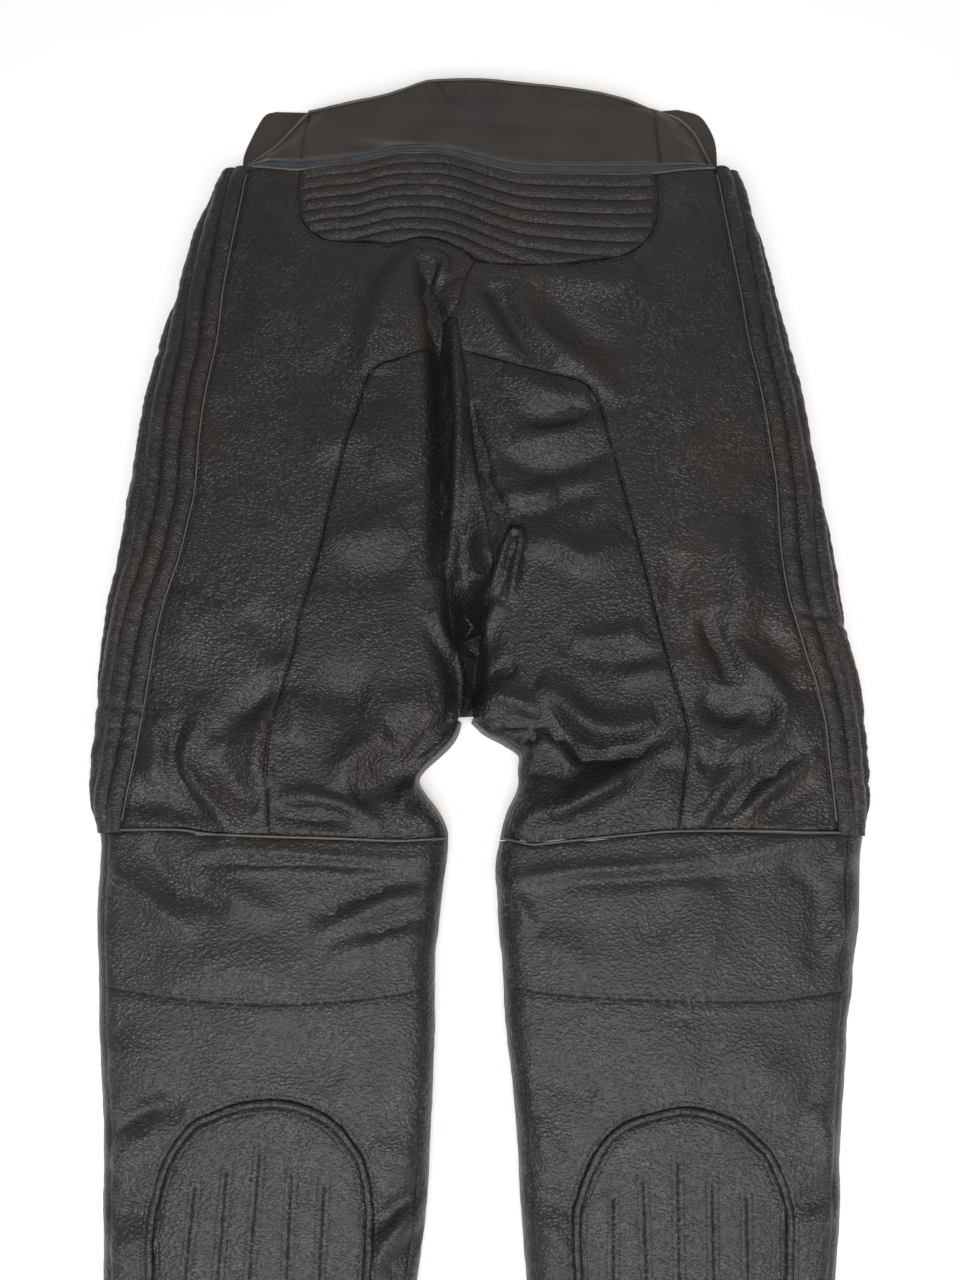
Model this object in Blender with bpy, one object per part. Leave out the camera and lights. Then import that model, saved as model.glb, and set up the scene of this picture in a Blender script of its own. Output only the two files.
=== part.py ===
"""Leather motorcycle trousers, laid flat on their front with the back side up.

The frame: +Y runs from the hems to the waist, +X to the wearer's right, +Z up from
the surface that the trousers lie on. Lengths in the tables are millimetres.
"""

from collections import namedtuple
from math import pi

import bpy
import numpy as np
from mathutils import Vector
from mathutils.geometry import delaunay_2d_cdt

MM = 0.001

# Driving dimensions, in millimetres
WALL = 2.0
SEAM_GAP = 0.3
HEM = -576.0
CROTCH = 24.0
WAIST = 488.0
MID_SEAM = -61.0
MID_INNER = -66.0
EDGE_ROLL = 20.0
ROLL_SHARE = 0.72
FOLD_FADE = 12.0
LEG_WRAP = 8.0
UNDER_WRAP = 15.0
INNER_LIP = 3.0
QUILT_RIBS = 7
QUILT_PITCH = 14.2
QUILT_RISE = 2.6
LUMBAR_PITCH = 9.4
LUMBAR_RISE = 2.6
PIPING_RISE = 2.0
ROLLED_RISE = 1.3
SEWN_RISE = 0.2
THIGH_PIPING = 3.0
ARCH_PIPING = 5.4
BODY_STEP = 18.0
LEG_STEP = 23.0
ARCH_STEP = 16.1
QUILT_ROW = 39.0
CLOSEST = 1.0
TAPE_GAP = 0.8
WRAP_GAP = 0.7
WRAP_DROP = 1.4
LIP_GAP = 0.5
YOKE_LOW = 9.0
YOKE_SHOULDER = 26.0
YOKE_RAMP = 90.0
YOKE_STEP_SHARE = 0.4
LUMBAR_MIDDLE = -1.5
LUMBAR_HALF = 149.0
UNDER_TUCK = 30.0
RIGHT_WRAP_EXTRA = 7.0

# Where along the garment its parts' heights run into one another
LEGS_JOIN = (70.0, 250.0)
CLEFT_JOIN = 60.0
FOLDS_JOIN = 40.0
YOKE_JOIN = (486.0, 502.0)
TOP_STARTS = 478.0
WRAP_NARROWS = (150.0, 195.0)

# How finely the surfaces are sampled
MARGIN_SHARE = 0.45
ROW_MARGIN = 2.2
SLOPE_REACH = 0.4
ROLL_POINTS = 12
TUCK_POINTS = 8
RIB_POINTS = 4
LEG_ROWS = 15
WRAP_COLUMNS = 6
SHARP_ANGLE = 0.9

# The garment's outline as seen from above, from the waist to the hems
Outline = namedtuple("Outline", "y outer_left outer_right")
OUTLINE = [
    Outline(508, -200, 203),
    Outline(482, -221, 219),
    Outline(427, -238, 233),
    Outline(373, -250, 243),
    Outline(321, -263, 253),
    Outline(269, -273, 262),
    Outline(218, -279, 269),
    Outline(168, -283, 276),
    Outline(120, -290, 282),
    Outline(72, -294, 290),
    Outline(25, -296, 295),
    Outline(-22, -296, 296),
    Outline(-44, -294, 295),
    Outline(-64, -289, 291),
    Outline(-84, -287, 287),
    Outline(-133, -286, 283),
    Outline(-198, -281, 271),
    Outline(-261, -274, 264),
    Outline(-322, -271, 259),
    Outline(-375, -268, 253),
    Outline(-470, -261, 246),
    Outline(-576, -250, 236),
]

# The inner edges of the two legs, from the crotch to the hems
Inseam = namedtuple("Inseam", "y left right")
INSEAM = [
    Inseam(24, -14, -8),
    Inseam(13, -17, 4),
    Inseam(5, -22, 19),
    Inseam(-4, -31, 30),
    Inseam(-14, -42, 29),
    Inseam(-22, -46, 29),
    Inseam(-31, -42, 27),
    Inseam(-44, -32, 21),
    Inseam(-53, -27, 18),
    Inseam(-66, -24, 15),
    Inseam(-89, -26, 12),
    Inseam(-133, -31, 14),
    Inseam(-198, -33, 18),
    Inseam(-261, -35, 25),
    Inseam(-322, -38, 29),
    Inseam(-375, -44, 33),
    Inseam(-470, -52, 38),
    Inseam(-576, -62, 46),
]

# How high the back stands, and how high its side edges and inner edges roll
Height = namedtuple("Height", "y crown edge inner")
HEIGHTS = [
    Height(576, 17, 6, 12),
    Height(505, 27, 8, 12),
    Height(470, 33, 10, 12),
    Height(400, 40, 12, 12),
    Height(250, 43, 13, 12),
    Height(80, 42, 13, 8),
    Height(24, 40, 13, 5.5),
    Height(-25, 40, 13, 10),
    Height(-66, 38, 12, 12),
    Height(-180, 39, 12, 12),
    Height(-300, 36, 11, 11),
    Height(-470, 32, 10, 10),
    Height(-576, 27, 9, 9),
]

# The middle of the cleft between the thighs, above the crotch
CLEFT = [(24, -11), (90, -9), (150, -14), (240, -20), (350, -24)]
CLEFT_SPREAD = 15.0

# Main folds: a curve through three points, its half-width and its rise (negative for a trough)
Fold = namedtuple("Fold", "x0 y0 x1 y1 x2 y2 width rise")
FOLDS = [
    Fold(-45, 403, -58, 352, -80, 290, 15, 5),
    Fold(-72, 400, -96, 350, -122, 300, 15, -3),
    Fold(-36, 392, -34, 300, -31, 110, 13, -8),
    Fold(-6, 372, 6, 344, 26, 310, 13, 4),
    Fold(26, 363, 66, 322, 112, 272, 16, 5),
    Fold(14, 254, 55, 262, 94, 240, 15, -4),
    Fold(36, 157, 73, 146, 128, 172, 15, 4),
    Fold(30, 122, 78, 106, 134, 132, 15, -4),
    Fold(36, 68, 106, 48, 188, 44, 14, -5),
    Fold(40, 38, 98, 22, 160, 33, 13, 4),
    Fold(60, 4, 112, -4, 168, 20, 14, -6),
    Fold(22, -44, 84, -34, 156, 6, 13, 5),
    Fold(128, 146, 163, 184, 224, 200, 16, 4),
    Fold(150, 114, 170, 150, 212, 172, 15, -3),
    Fold(198, 160, 186, 112, 204, 60, 14, 4),
    Fold(228, 40, 222, 4, 160, -8, 14, 4),
    Fold(178, -56, 212, -30, 248, -4, 12, -4),
    Fold(-213, 40, -216, -6, -178, -54, 13, 4),
    Fold(-207, 6, -197, -22, -156, -44, 13, -4),
    Fold(-92, 6, -102, -16, -92, -40, 13, 4),
    Fold(-160, -36, -112, -32, -62, -52, 12, 3),
    Fold(-244, -78, -206, -100, -168, -118, 14, 4),
    Fold(-44, -92, -86, -108, -116, -138, 13, -4),
    Fold(30, -100, 117, -110, 208, -94, 13, -3),
    Fold(176, -110, 162, -138, 152, -168, 13, 3),
    Fold(-258, -296, -240, -274, -214, -262, 12, -4),
    Fold(-48, -300, -62, -330, -72, -372, 13, -4),
    Fold(44, -318, 62, -308, 84, -322, 12, 3),
    Fold(-180, -560, -150, -500, -120, -470, 15, -3),
    Fold(110, -560, 150, -510, 190, -480, 15, -3),
]

# Seams of the back, as lines through a few points
QUILT_LEFT = [(-190, 490), (-198, 455), (-204, 410), (-211, 331), (-219, 280), (-224, 197),
              (-233, 148), (-248, 85), (-260, -8), (-267, -60)]
QUILT_RIGHT = [(196, 488), (201, 455), (205, 419), (216, 331), (225, 280), (233, 190),
               (238, 116), (250, 69), (261, 23), (267, -62)]
ZIP_LOW = [(-198, 494), (-190, 490), (-150, 485), (-125, 488), (-83, 496), (-50, 500),
           (-17, 496), (17, 484), (58, 479), (100, 479), (147, 481), (196, 488), (201, 489)]
ZIP_HIGH = [(-197, 500), (-182, 499), (-125, 495), (-83, 504), (-42, 508), (-8, 502),
            (25, 492), (66, 489), (133, 490), (198, 496)]
LUMBAR = [(-150, 485), (-151, 461), (-147, 438), (-133, 420), (-112, 414), (-69, 412),
          (-45, 416), (-20, 409), (-4, 397), (8, 394), (32, 392), (65, 393), (98, 397),
          (126, 407), (141, 424), (147, 452), (147, 481)]
CENTRE = [(-4, 397), (-12, 378), (-18, 360), (-24, 347)]
GUSSET_TOP_LEFT = (-30, 345)
GUSSET_TOP_RIGHT = (-18, 345)
GUSSET_LEFT = [(-32, 322), (-34, 280), (-32, 238), (-31, 197), (-29, 156), (-24, 110),
               (-19, 66), (-16, 26)]
GUSSET_RIGHT = [(-14, 318), (-11, 297), (-7, 263), (-2, 222), (5, 180), (9, 150), (5, 110),
                (-3, 66), (-6, 26)]
SEAT_LEFT = [(-32, 322), (-64, 311), (-86, 299), (-98, 268), (-110, 222), (-122, 165),
             (-138, 102), (-151, 44), (-158, -9), (-157, -65)]
SEAT_RIGHT = [(-14, 318), (16, 309), (64, 296), (88, 284), (102, 243), (115, 190),
              (134, 110), (150, 44), (157, 3), (148, -61)]
MID_LEFT = [(-267, -60), (-224, -60), (-157, -65), (-90, -67), (-27, -66)]
MID_RIGHT = [(18, -66), (48, -70), (97, -65), (148, -61), (209, -61), (267, -62)]
KNEE_LEFT = [(-275, -173), (-219, -181), (-160, -185), (-102, -183), (-42, -175)]
KNEE_RIGHT = [(25, -174), (66, -179), (131, -182), (189, -183), (262, -177)]
ARCH_LEFT = [(-216, -576), (-224, -470), (-229, -344), (-218, -292), (-190, -265), (-148, -256),
             (-114, -265), (-87, -295), (-81, -344), (-88, -470), (-96, -576)]
ARCH_RIGHT = [(82, -576), (76, -470), (71, -344), (85, -292), (110, -269), (146, -261),
              (182, -271), (204, -292), (215, -344), (208, -470), (200, -576)]
YOKE_TOP = [(-146, 551), (-109, 554), (-67, 565), (-38, 575), (0, 576), (34, 572),
            (67, 568), (101, 563), (148, 552)]
YOKE_SIDE_LEFT = [(-146, 551), (-158, 537), (-173, 519), (-189, 506), (-197, 500)]
YOKE_SIDE_RIGHT = [(148, 552), (169, 544), (183, 530), (191, 513), (198, 496)]
YOKE_SEAM_LEFT = [(-149, 496), (-146, 551)]
YOKE_SEAM_RIGHT = [(150, 491), (148, 552)]
BAND = [(-200, 488), (-203, 509), (-196, 531), (-186, 551), (-176, 555), (-120, 553),
        (0, 546), (120, 553), (171, 557), (188, 552), (196, 542), (202, 526), (203, 506), (201, 488)]
FLY_SIDE = 20.0
FLY_BOTTOM = 310.0
FRONT_CENTRE = -10.0

# Colour, roughness and metallic value of each leather or tape
Finish = namedtuple("Finish", "colour roughness metallic")
FINISHES = {
    "hide": Finish((0.018, 0.016, 0.015, 1.0), 0.42, 0.0),
    "yoke_hide": Finish((0.030, 0.024, 0.020, 1.0), 0.55, 0.0),
    "rolled_edge": Finish((0.045, 0.038, 0.034, 1.0), 0.40, 0.0),
    "tape": Finish((0.035, 0.036, 0.040, 1.0), 0.80, 0.0),
}


def smooth_curve(keys, values):
    """A smooth function through the given points that never overshoots them."""
    order = np.argsort(keys)
    xs = np.asarray(keys, float)[order]
    ys = np.asarray(values, float)[order]
    steps = np.diff(xs)
    slopes = np.diff(ys) / steps
    tangents = np.concatenate(([slopes[0]], (slopes[1:] + slopes[:-1]) / 2, [slopes[-1]]))
    turning = slopes[1:] * slopes[:-1] <= 0
    tangents[1:-1][turning] = 0.0

    def value(at):
        at = np.clip(np.asarray(at, float), xs[0], xs[-1])
        cell = np.clip(np.searchsorted(xs, at) - 1, 0, len(steps) - 1)
        width = steps[cell]
        t = (at - xs[cell]) / width
        start = (1 + 2 * t) * (1 - t) ** 2 * ys[cell] + t * (1 - t) ** 2 * width * tangents[cell]
        end = t * t * (3 - 2 * t) * ys[cell + 1] + t * t * (t - 1) * width * tangents[cell + 1]
        return start + end

    return value


def column(rows, name):
    """One column of a table as a smooth function of y."""
    return smooth_curve([row.y for row in rows], [getattr(row, name) for row in rows])


outer_left = column(OUTLINE, "outer_left")
outer_right = column(OUTLINE, "outer_right")
inner_left = column(INSEAM, "left")
inner_right = column(INSEAM, "right")
crown_height = column(HEIGHTS, "crown")
edge_height = column(HEIGHTS, "edge")
inner_height = column(HEIGHTS, "inner")
cleft_middle = smooth_curve([y for y, x in CLEFT], [x for y, x in CLEFT])
quilt_left = smooth_curve([y for x, y in QUILT_LEFT], [x for x, y in QUILT_LEFT])
quilt_right = smooth_curve([y for x, y in QUILT_RIGHT], [x for x, y in QUILT_RIGHT])
zip_line = smooth_curve([x for x, y in ZIP_LOW], [y for x, y in ZIP_LOW])


def ease(value, low, high):
    """0 below low, 1 above high, and smooth between."""
    t = np.clip((value - low) / (high - low), 0.0, 1.0)
    return t * t * (3 - 2 * t)


def roll(distance, radius):
    """The rise of a rolled edge, 0 at the outline and 1 a radius inside it."""
    t = 1 - np.clip(distance / radius, 0.0, 1.0)
    return np.sqrt(np.clip(1 - t * t, 0.0, 1.0))


def fold_line(fold, count=10):
    """Points along a fold's curve, which passes through its three points."""
    t = np.linspace(0, 1, count)[:, None]
    start = np.array([fold.x0, fold.y0], float)
    middle = np.array([fold.x1, fold.y1], float)
    end = np.array([fold.x2, fold.y2], float)
    control = 2 * middle - (start + end) / 2
    return (1 - t) ** 2 * start + 2 * t * (1 - t) * control + t * t * end


def fold_rise(fold, x, y):
    """How far one fold lifts or sinks the back at x, y."""
    line = fold_line(fold)
    best = np.full(np.shape(x), 1e9)
    along = np.zeros(np.shape(x))
    for index in range(len(line) - 1):
        (ax, ay), (bx, by) = line[index], line[index + 1]
        length = (bx - ax) ** 2 + (by - ay) ** 2
        t = np.clip(((x - ax) * (bx - ax) + (y - ay) * (by - ay)) / length, 0, 1)
        gap = (x - ax - t * (bx - ax)) ** 2 + (y - ay - t * (by - ay)) ** 2
        nearer = gap < best
        best = np.where(nearer, gap, best)
        along = np.where(nearer, (index + t) / (len(line) - 1), along)
    taper = np.sin(pi * along) ** 0.7
    return fold.rise * taper * np.exp(-best / fold.width ** 2)


def back_height(x, y):
    """Height of the outside of the back above the surface that the garment lies on."""
    x = np.asarray(x, float)
    y = np.asarray(y, float)
    left = outer_left(y)
    right = outer_right(y)
    middle = cleft_middle(y)
    near_left = np.where(y > CROTCH, middle, inner_left(y))
    near_right = np.where(y > CROTCH, middle, inner_right(y))
    on_left = x < (near_left + near_right) / 2
    outside = np.maximum(np.where(on_left, x - left, right - x), 0.0)
    inside = np.maximum(np.where(on_left, near_left - x, x - near_right), 0.0)

    crown = crown_height(y)
    side = edge_height(y)
    inner = inner_height(y)
    leg_width = np.maximum(np.where(on_left, near_left - left, right - near_right), 1.0)
    leg_across = (outside / leg_width - 0.5) * 2
    body_across = (x - (left + right) / 2) / ((right - left) / 2)
    valley = ease(y, CROTCH, CROTCH + CLEFT_JOIN)
    cleft_roll = valley * (1 - np.exp(-(inside / CLEFT_SPREAD) ** 2))
    inner_roll = (1 - valley) * roll(inside, EDGE_ROLL) + cleft_roll
    outer_share = outside / np.maximum(outside + inside, 1e-6)
    base = side + (inner - side) * outer_share ** 2
    leg = base + (crown - base) * (ROLL_SHARE * roll(outside, EDGE_ROLL) * inner_roll
                                   + (1 - ROLL_SHARE) * (1 - leg_across ** 2))
    body = side + (crown - side) * (ROLL_SHARE * roll(outside, EDGE_ROLL)
                                    + (1 - ROLL_SHARE) * (1 - np.clip(body_across, -1, 1) ** 2))
    height = leg + (body - leg) * ease(y, *LEGS_JOIN)

    fade = ease(outside, 0.0, FOLD_FADE)
    fade = fade * np.where(y > CROTCH + FOLDS_JOIN, 1.0, ease(inside, 0.0, FOLD_FADE))
    relief = np.zeros(np.shape(height))
    for fold in FOLDS:
        relief = relief + fold_rise(fold, x, y)
    return height + relief * fade


def yoke_height(x, y):
    """Height of the yoke and the zip tape, which slope down to the front waistband at the sides."""
    x = np.asarray(x, float)
    y = np.asarray(y, float)
    side_left = smooth_curve([py for px, py in YOKE_SIDE_LEFT], [px for px, py in YOKE_SIDE_LEFT])
    side_right = smooth_curve([py for px, py in YOKE_SIDE_RIGHT], [px for px, py in YOKE_SIDE_RIGHT])
    inside = np.maximum(np.minimum(x - side_left(y), side_right(y) - x), 0.0)
    across = np.clip(inside / YOKE_RAMP, 0, 1)
    step = YOKE_STEP_SHARE * ease(inside, 0.0, YOKE_SHOULDER)
    share = step + (1 - YOKE_STEP_SHARE) * (1 - (1 - across) ** 2)
    return YOKE_LOW + (crown_height(y) - YOKE_LOW) * share


def waist_height(x, y):
    """Height of the tape at the waist, which joins the back's height to the yoke's."""
    share = ease(y, *YOKE_JOIN)
    return back_height(x, y) * (1 - share) + yoke_height(x, y) * share


def top_height(x, y):
    """Height of everything that lies uppermost."""
    return np.where(np.asarray(y, float) > TOP_STARTS, waist_height(x, y), back_height(x, y))


def surface(points, height=top_height):
    """Points on the outside of the back and the directions that stand out from it."""
    points = np.asarray(points, float)
    x, y = points[:, 0], points[:, 1]
    z = height(x, y)
    slope_x = (height(x + SLOPE_REACH, y) - height(x - SLOPE_REACH, y)) / (2 * SLOPE_REACH)
    slope_y = (height(x, y + SLOPE_REACH) - height(x, y - SLOPE_REACH)) / (2 * SLOPE_REACH)
    normals = np.stack([-slope_x, -slope_y, np.ones_like(z)], 1)
    normals /= np.linalg.norm(normals, axis=1)[:, None]
    return np.stack([x, y, z], 1), normals


def resample(line, step=None, count=None):
    """Equally spaced points along a polyline."""
    line = np.asarray(line, float)
    lengths = np.concatenate(([0], np.cumsum(np.linalg.norm(np.diff(line, axis=0), axis=1))))
    if count is None:
        count = max(1, round(lengths[-1] / step))
    marks = np.linspace(0, lengths[-1], count + 1)
    return np.stack([np.interp(marks, lengths, line[:, axis]) for axis in range(line.shape[1])], 1)


def rounded(points, step):
    """A smooth line through the given points, sampled at about the given step."""
    points = np.asarray(points, float)
    if len(points) == 2:
        return resample(points, step)
    padded = np.vstack([2 * points[0] - points[1], points, 2 * points[-1] - points[-2]])
    fine = []
    for a, b, c, d in zip(padded, padded[1:], padded[2:], padded[3:]):
        t = np.linspace(0, 1, 12, endpoint=False)[:, None]
        fine.append(0.5 * (2 * b + (c - a) * t + (2 * a - 5 * b + 4 * c - d) * t ** 2
                           + (3 * b - a - 3 * c + d) * t ** 3))
    fine.append(points[-1:])
    return resample(np.vstack(fine), step)


def offset(line, distance):
    """The line moved to its left by a distance."""
    line = np.asarray(line, float)
    run = np.gradient(line, axis=0)
    run /= np.linalg.norm(run, axis=1)[:, None]
    return line + distance * np.stack([-run[:, 1], run[:, 0]], 1)


def split(line, point):
    """The two stretches of a line on either side of the point of it nearest to the given one."""
    line = np.asarray(line, float)
    at = int(np.argmin(np.linalg.norm(line - np.asarray(point, float), axis=1)))
    return line[:at + 1], line[at:]


def join(*lines):
    """One closed loop from lines laid end to end, without repeated points."""
    loop = []
    for line in lines:
        for point in np.asarray(line, float):
            if not loop or np.linalg.norm(point - loop[-1]) > CLOSEST:
                loop.append(point)
    if np.linalg.norm(loop[0] - loop[-1]) < CLOSEST:
        loop.pop()
    loop = np.array(loop)
    following = np.roll(loop, -1, axis=0)
    area = np.sum(loop[:, 0] * following[:, 1] - following[:, 0] * loop[:, 1])
    return loop if area > 0 else loop[::-1]


def inset(loop, distance):
    """A counterclockwise loop drawn in by half a seam's gap."""
    before = loop - np.roll(loop, 1, axis=0)
    after = np.roll(loop, -1, axis=0) - loop
    before /= np.linalg.norm(before, axis=1)[:, None]
    after /= np.linalg.norm(after, axis=1)[:, None]
    left_before = np.stack([-before[:, 1], before[:, 0]], 1)
    left_after = np.stack([-after[:, 1], after[:, 0]], 1)
    mean = left_before + left_after
    scale = np.maximum((mean * left_before).sum(1), 0.5)
    return loop + distance * mean / scale[:, None]


def inside_loop(points, loop, margin):
    """Which points lie inside the loop and at least the margin from its edges."""
    x, y = points[:, 0], points[:, 1]
    within = np.zeros(len(points), bool)
    nearest = np.full(len(points), 1e9)
    for a, b in zip(loop, np.roll(loop, -1, axis=0)):
        crosses = (a[1] > y) != (b[1] > y)
        with np.errstate(divide="ignore", invalid="ignore"):
            at = (b[0] - a[0]) * (y - a[1]) / (b[1] - a[1]) + a[0]
        within ^= crosses & (x < at)
        run = b - a
        t = np.clip(((points - a) @ run) / (run @ run), 0, 1)
        nearest = np.minimum(nearest, np.linalg.norm(points - a - t[:, None] * run, axis=1))
    return within & (nearest > margin)


def triangulate(loop, inner_points):
    """Triangles that fill the loop, using the inner points too."""
    points = [Vector(point) for point in np.vstack([loop, inner_points])]
    result = delaunay_2d_cdt(points, [], [list(range(len(loop)))], 1, 1e-6)
    flat = np.array([list(point) for point in result[0]])
    return flat, [tuple(face) for face in result[2]]


def grid_points(loop, step):
    """Staggered points inside a loop, clear of its edges."""
    low = loop.min(0)
    high = loop.max(0)
    rows = np.arange(low[1], high[1], step * 0.87)
    columns = np.arange(low[0], high[0], step)
    points = [(x + (row % 2) * step / 2, y) for row, y in enumerate(rows) for x in columns]
    points = np.array(points)
    return points[inside_loop(points, loop, step * MARGIN_SHARE)]


def make_object(name, vertices, faces, finish):
    """A named mesh object with its own material; vertices are in millimetres."""
    mesh = bpy.data.meshes.new(name)
    mesh.from_pydata([tuple(float(value) * MM for value in vertex) for vertex in vertices], [], faces)
    mesh.validate()
    mesh.shade_smooth()
    mesh.set_sharp_from_angle(angle=SHARP_ANGLE)
    thing = bpy.data.objects.new(name, mesh)
    material = bpy.data.materials.new(name + "_finish")
    material.use_nodes = True
    shader = material.node_tree.nodes["Principled BSDF"]
    look = FINISHES[finish]
    shader.inputs["Base Color"].default_value = look.colour
    shader.inputs["Roughness"].default_value = look.roughness
    shader.inputs["Metallic"].default_value = look.metallic
    mesh.materials.append(material)
    bpy.data.collections["motorcycle_trousers"].objects.link(thing)
    return thing


def panel(name, loop, step, finish="hide", raised=None, rows=None):
    """A cut piece that lies on the back: a wall between its outer skin and one inside it.

    raised gives how far the outer points stand above the plain skin, for padded ribs, and
    rows gives the points along those ribs; the inside stays plain.
    """
    loop = inset(loop, SEAM_GAP / 2)
    if rows is None:
        filling = grid_points(loop, step)
    else:
        filling = rows[inside_loop(rows, loop, ROW_MARGIN)]
    flat, faces = triangulate(loop, filling)
    outer, normals = surface(flat)
    if raised is not None:
        outer = outer + normals * raised(flat[:, 0], flat[:, 1])[:, None]
    if rows is None:
        inner_flat, inner_faces, inner_normals = flat, faces, normals
    else:
        inner_flat, inner_faces = triangulate(loop, grid_points(loop, step))
        inner_normals = surface(inner_flat)[1]
    inner = surface(inner_flat)[0] - inner_normals * WALL
    close_wall(name, outer, faces, inner, inner_faces, len(loop), finish)


def close_wall(name, outer, faces, inner, inner_faces, rim, finish):
    """A closed solid from two skins whose first points, in order, are their shared rim."""
    start = len(outer)
    walls = [(index, start + index, start + (index + 1) % rim, (index + 1) % rim) for index in range(rim)]
    turned = [tuple(start + index for index in reversed(face)) for face in inner_faces]
    make_object(name, np.vstack([outer, inner]), list(faces) + turned + walls, finish)


def flat_panel(name, loop, step=60.0, finish="hide"):
    """A cut piece of the front, flat on the surface under the garment."""
    loop = inset(loop, SEAM_GAP / 2)
    flat, faces = triangulate(loop, grid_points(loop, step))
    lower = np.column_stack([flat, np.zeros(len(flat))])
    upper = np.column_stack([flat, np.full(len(flat), WALL)])
    close_wall(name, upper, faces, lower, faces, len(loop), finish)


def strip(name, left_line, right_line, rises, finish):
    """A raised strip, such as piping, between two lines with the same number of points."""
    shares = np.linspace(0, 1, len(rises))
    outer = []
    inner = []
    for share, rise in zip(shares, rises):
        points, normals = surface(left_line * (1 - share) + right_line * share)
        outer.append(points + normals * rise)
        inner.append(points - normals * WALL)
    tube(name, np.stack(outer, 1), np.stack(inner, 1), finish)


def tube(name, outer, inner, finish):
    """A closed wall from two grids of points, rows by columns, one on each side of it."""
    rows, columns = outer.shape[:2]
    grid = np.arange(rows * columns).reshape(rows, columns)
    count = rows * columns
    faces = []
    for row in range(rows - 1):
        for across in range(columns - 1):
            quad = (grid[row, across], grid[row + 1, across],
                    grid[row + 1, across + 1], grid[row, across + 1])
            faces.append(quad)
            faces.append(tuple(count + index for index in reversed(quad)))
    rim = list(grid[:, 0]) + list(grid[-1, 1:]) + list(grid[-2::-1, -1]) + list(grid[0, -2:0:-1])
    for a, b in zip(rim, rim[1:] + rim[:1]):
        faces.append((b, a, count + a, count + b))
    vertices = np.vstack([outer.reshape(-1, 3), inner.reshape(-1, 3)])
    thing = make_object(name, vertices, [tuple(int(index) for index in face) for face in faces], finish)
    turn_outwards(thing)


def turn_outwards(thing):
    """Turns a mesh's faces outwards if they face in."""
    mesh = thing.data
    mesh.calc_loop_triangles()
    volume = 0.0
    for triangle in mesh.loop_triangles:
        a, b, c = (mesh.vertices[index].co for index in triangle.vertices)
        volume += a.dot(b.cross(c))
    if volume < 0:
        mesh.flip_normals()


def edge_section(edge, inward, roll_height, lip, under, height=back_height):
    """Points round a rolled edge, from the seam on the back to the one underneath.

    edge is the outline's point, inward the level direction into the garment, lip and under
    the distances from the outline to the two seams.
    """
    turn = np.linspace(0, pi / 2, ROLL_POINTS)
    above = lip * (1 - np.sin(turn))
    x = edge[0] + inward[0] * above
    y = edge[1] + inward[1] * above
    top = np.column_stack([x, y, height(x, y)])
    top[-1, 2] = roll_height
    below = roll_height * (1 - np.cos(turn[1:]))
    depth = roll_height * (1 - np.sin(turn[1:]))
    if under > roll_height:
        below = np.append(below, np.linspace(roll_height, under, TUCK_POINTS)[1:])
        depth = np.append(depth, np.zeros(TUCK_POINTS - 1))
    bottom = np.column_stack([edge[0] + inward[0] * below, edge[1] + inward[1] * below, depth])
    return np.vstack([top, bottom])


def section_normals(section, inward, height=back_height):
    """Directions that stand out from a section, upright but where it meets the back's seam."""
    run = np.gradient(section, axis=0)
    level = run[:, 0] * inward[0] + run[:, 1] * inward[1]
    rise = run[:, 2]
    length = np.hypot(level, rise)
    out_level = rise / length
    out_rise = -level / length
    normals = np.column_stack([out_level * inward[0], out_level * inward[1], out_rise])
    normals[0] = surface(section[:1, :2], height)[1][0]
    return normals


def quilt_rows():
    """The distances along the garment of a quilted strip's rows."""
    return resample(np.array([[WAIST], [MID_SEAM + 2.5]]), QUILT_ROW)[:, 0]


def quilt_seam(seam):
    """The seam of a quilted strip, with a point between each two of its rows."""
    ys = quilt_rows()
    line = np.column_stack([seam(ys), ys])
    middles = (line[1:] + line[:-1]) / 2
    return np.vstack([np.stack([line[:-1], middles], 1).reshape(-1, 2), line[-1:]])


def quilt(name, side):
    """A ribbed side strip that wraps from the hip panel's seam round to the underside."""
    seam = quilt_left if side < 0 else quilt_right
    outline = leg_outlines(side)[0]
    inward = (-float(side), 0.0)
    columns = QUILT_RIBS * RIB_POINTS
    width = QUILT_RIBS * QUILT_PITCH
    rows = quilt_rows()
    rib = np.abs(np.sin(pi * np.arange(columns + 1) / RIB_POINTS)) * QUILT_RISE
    outer = []
    inner = []
    for y in rows:
        edge_x = float(outline(y)) - side * QUILT_RISE * 0.8
        lip = abs(float(seam(y)) - edge_x) - SEAM_GAP / 2
        section = edge_section((edge_x, y), inward, float(edge_height(y)), lip, 140.0)
        fine = resample(section, 0.5)
        lengths = np.concatenate(([0], np.cumsum(np.linalg.norm(np.diff(fine, axis=0), axis=1))))
        line = resample(fine[lengths <= width], count=columns)
        normals = section_normals(line, inward)
        resting = ease(line[:, 2], 0.5, 7.0)
        raised = line + normals * (rib * resting)[:, None]
        outer.append(raised)
        inner.append(line - normals * WALL)
    tube(name, np.array(outer), np.array(inner), "hide")
    return np.array([row[-1][:2] for row in outer])


def edge_frame(line, side):
    """Level directions from an inner edge into its leg."""
    run = np.gradient(line, axis=0)
    run /= np.linalg.norm(run, axis=1)[:, None]
    inward = -side * np.stack([run[:, 1], -run[:, 0]], 1)
    inward[-1] = (side, 0.0)
    return inward


def inner_edge_line(side):
    """The inner edge of a leg between the crotch and the mid-thigh seam."""
    inner = leg_outlines(side)[1]
    ys = np.linspace(CROTCH - 1.0, MID_INNER + THIGH_PIPING / 2, 60)
    return resample(np.column_stack([inner(ys), ys]), 9.0)


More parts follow.
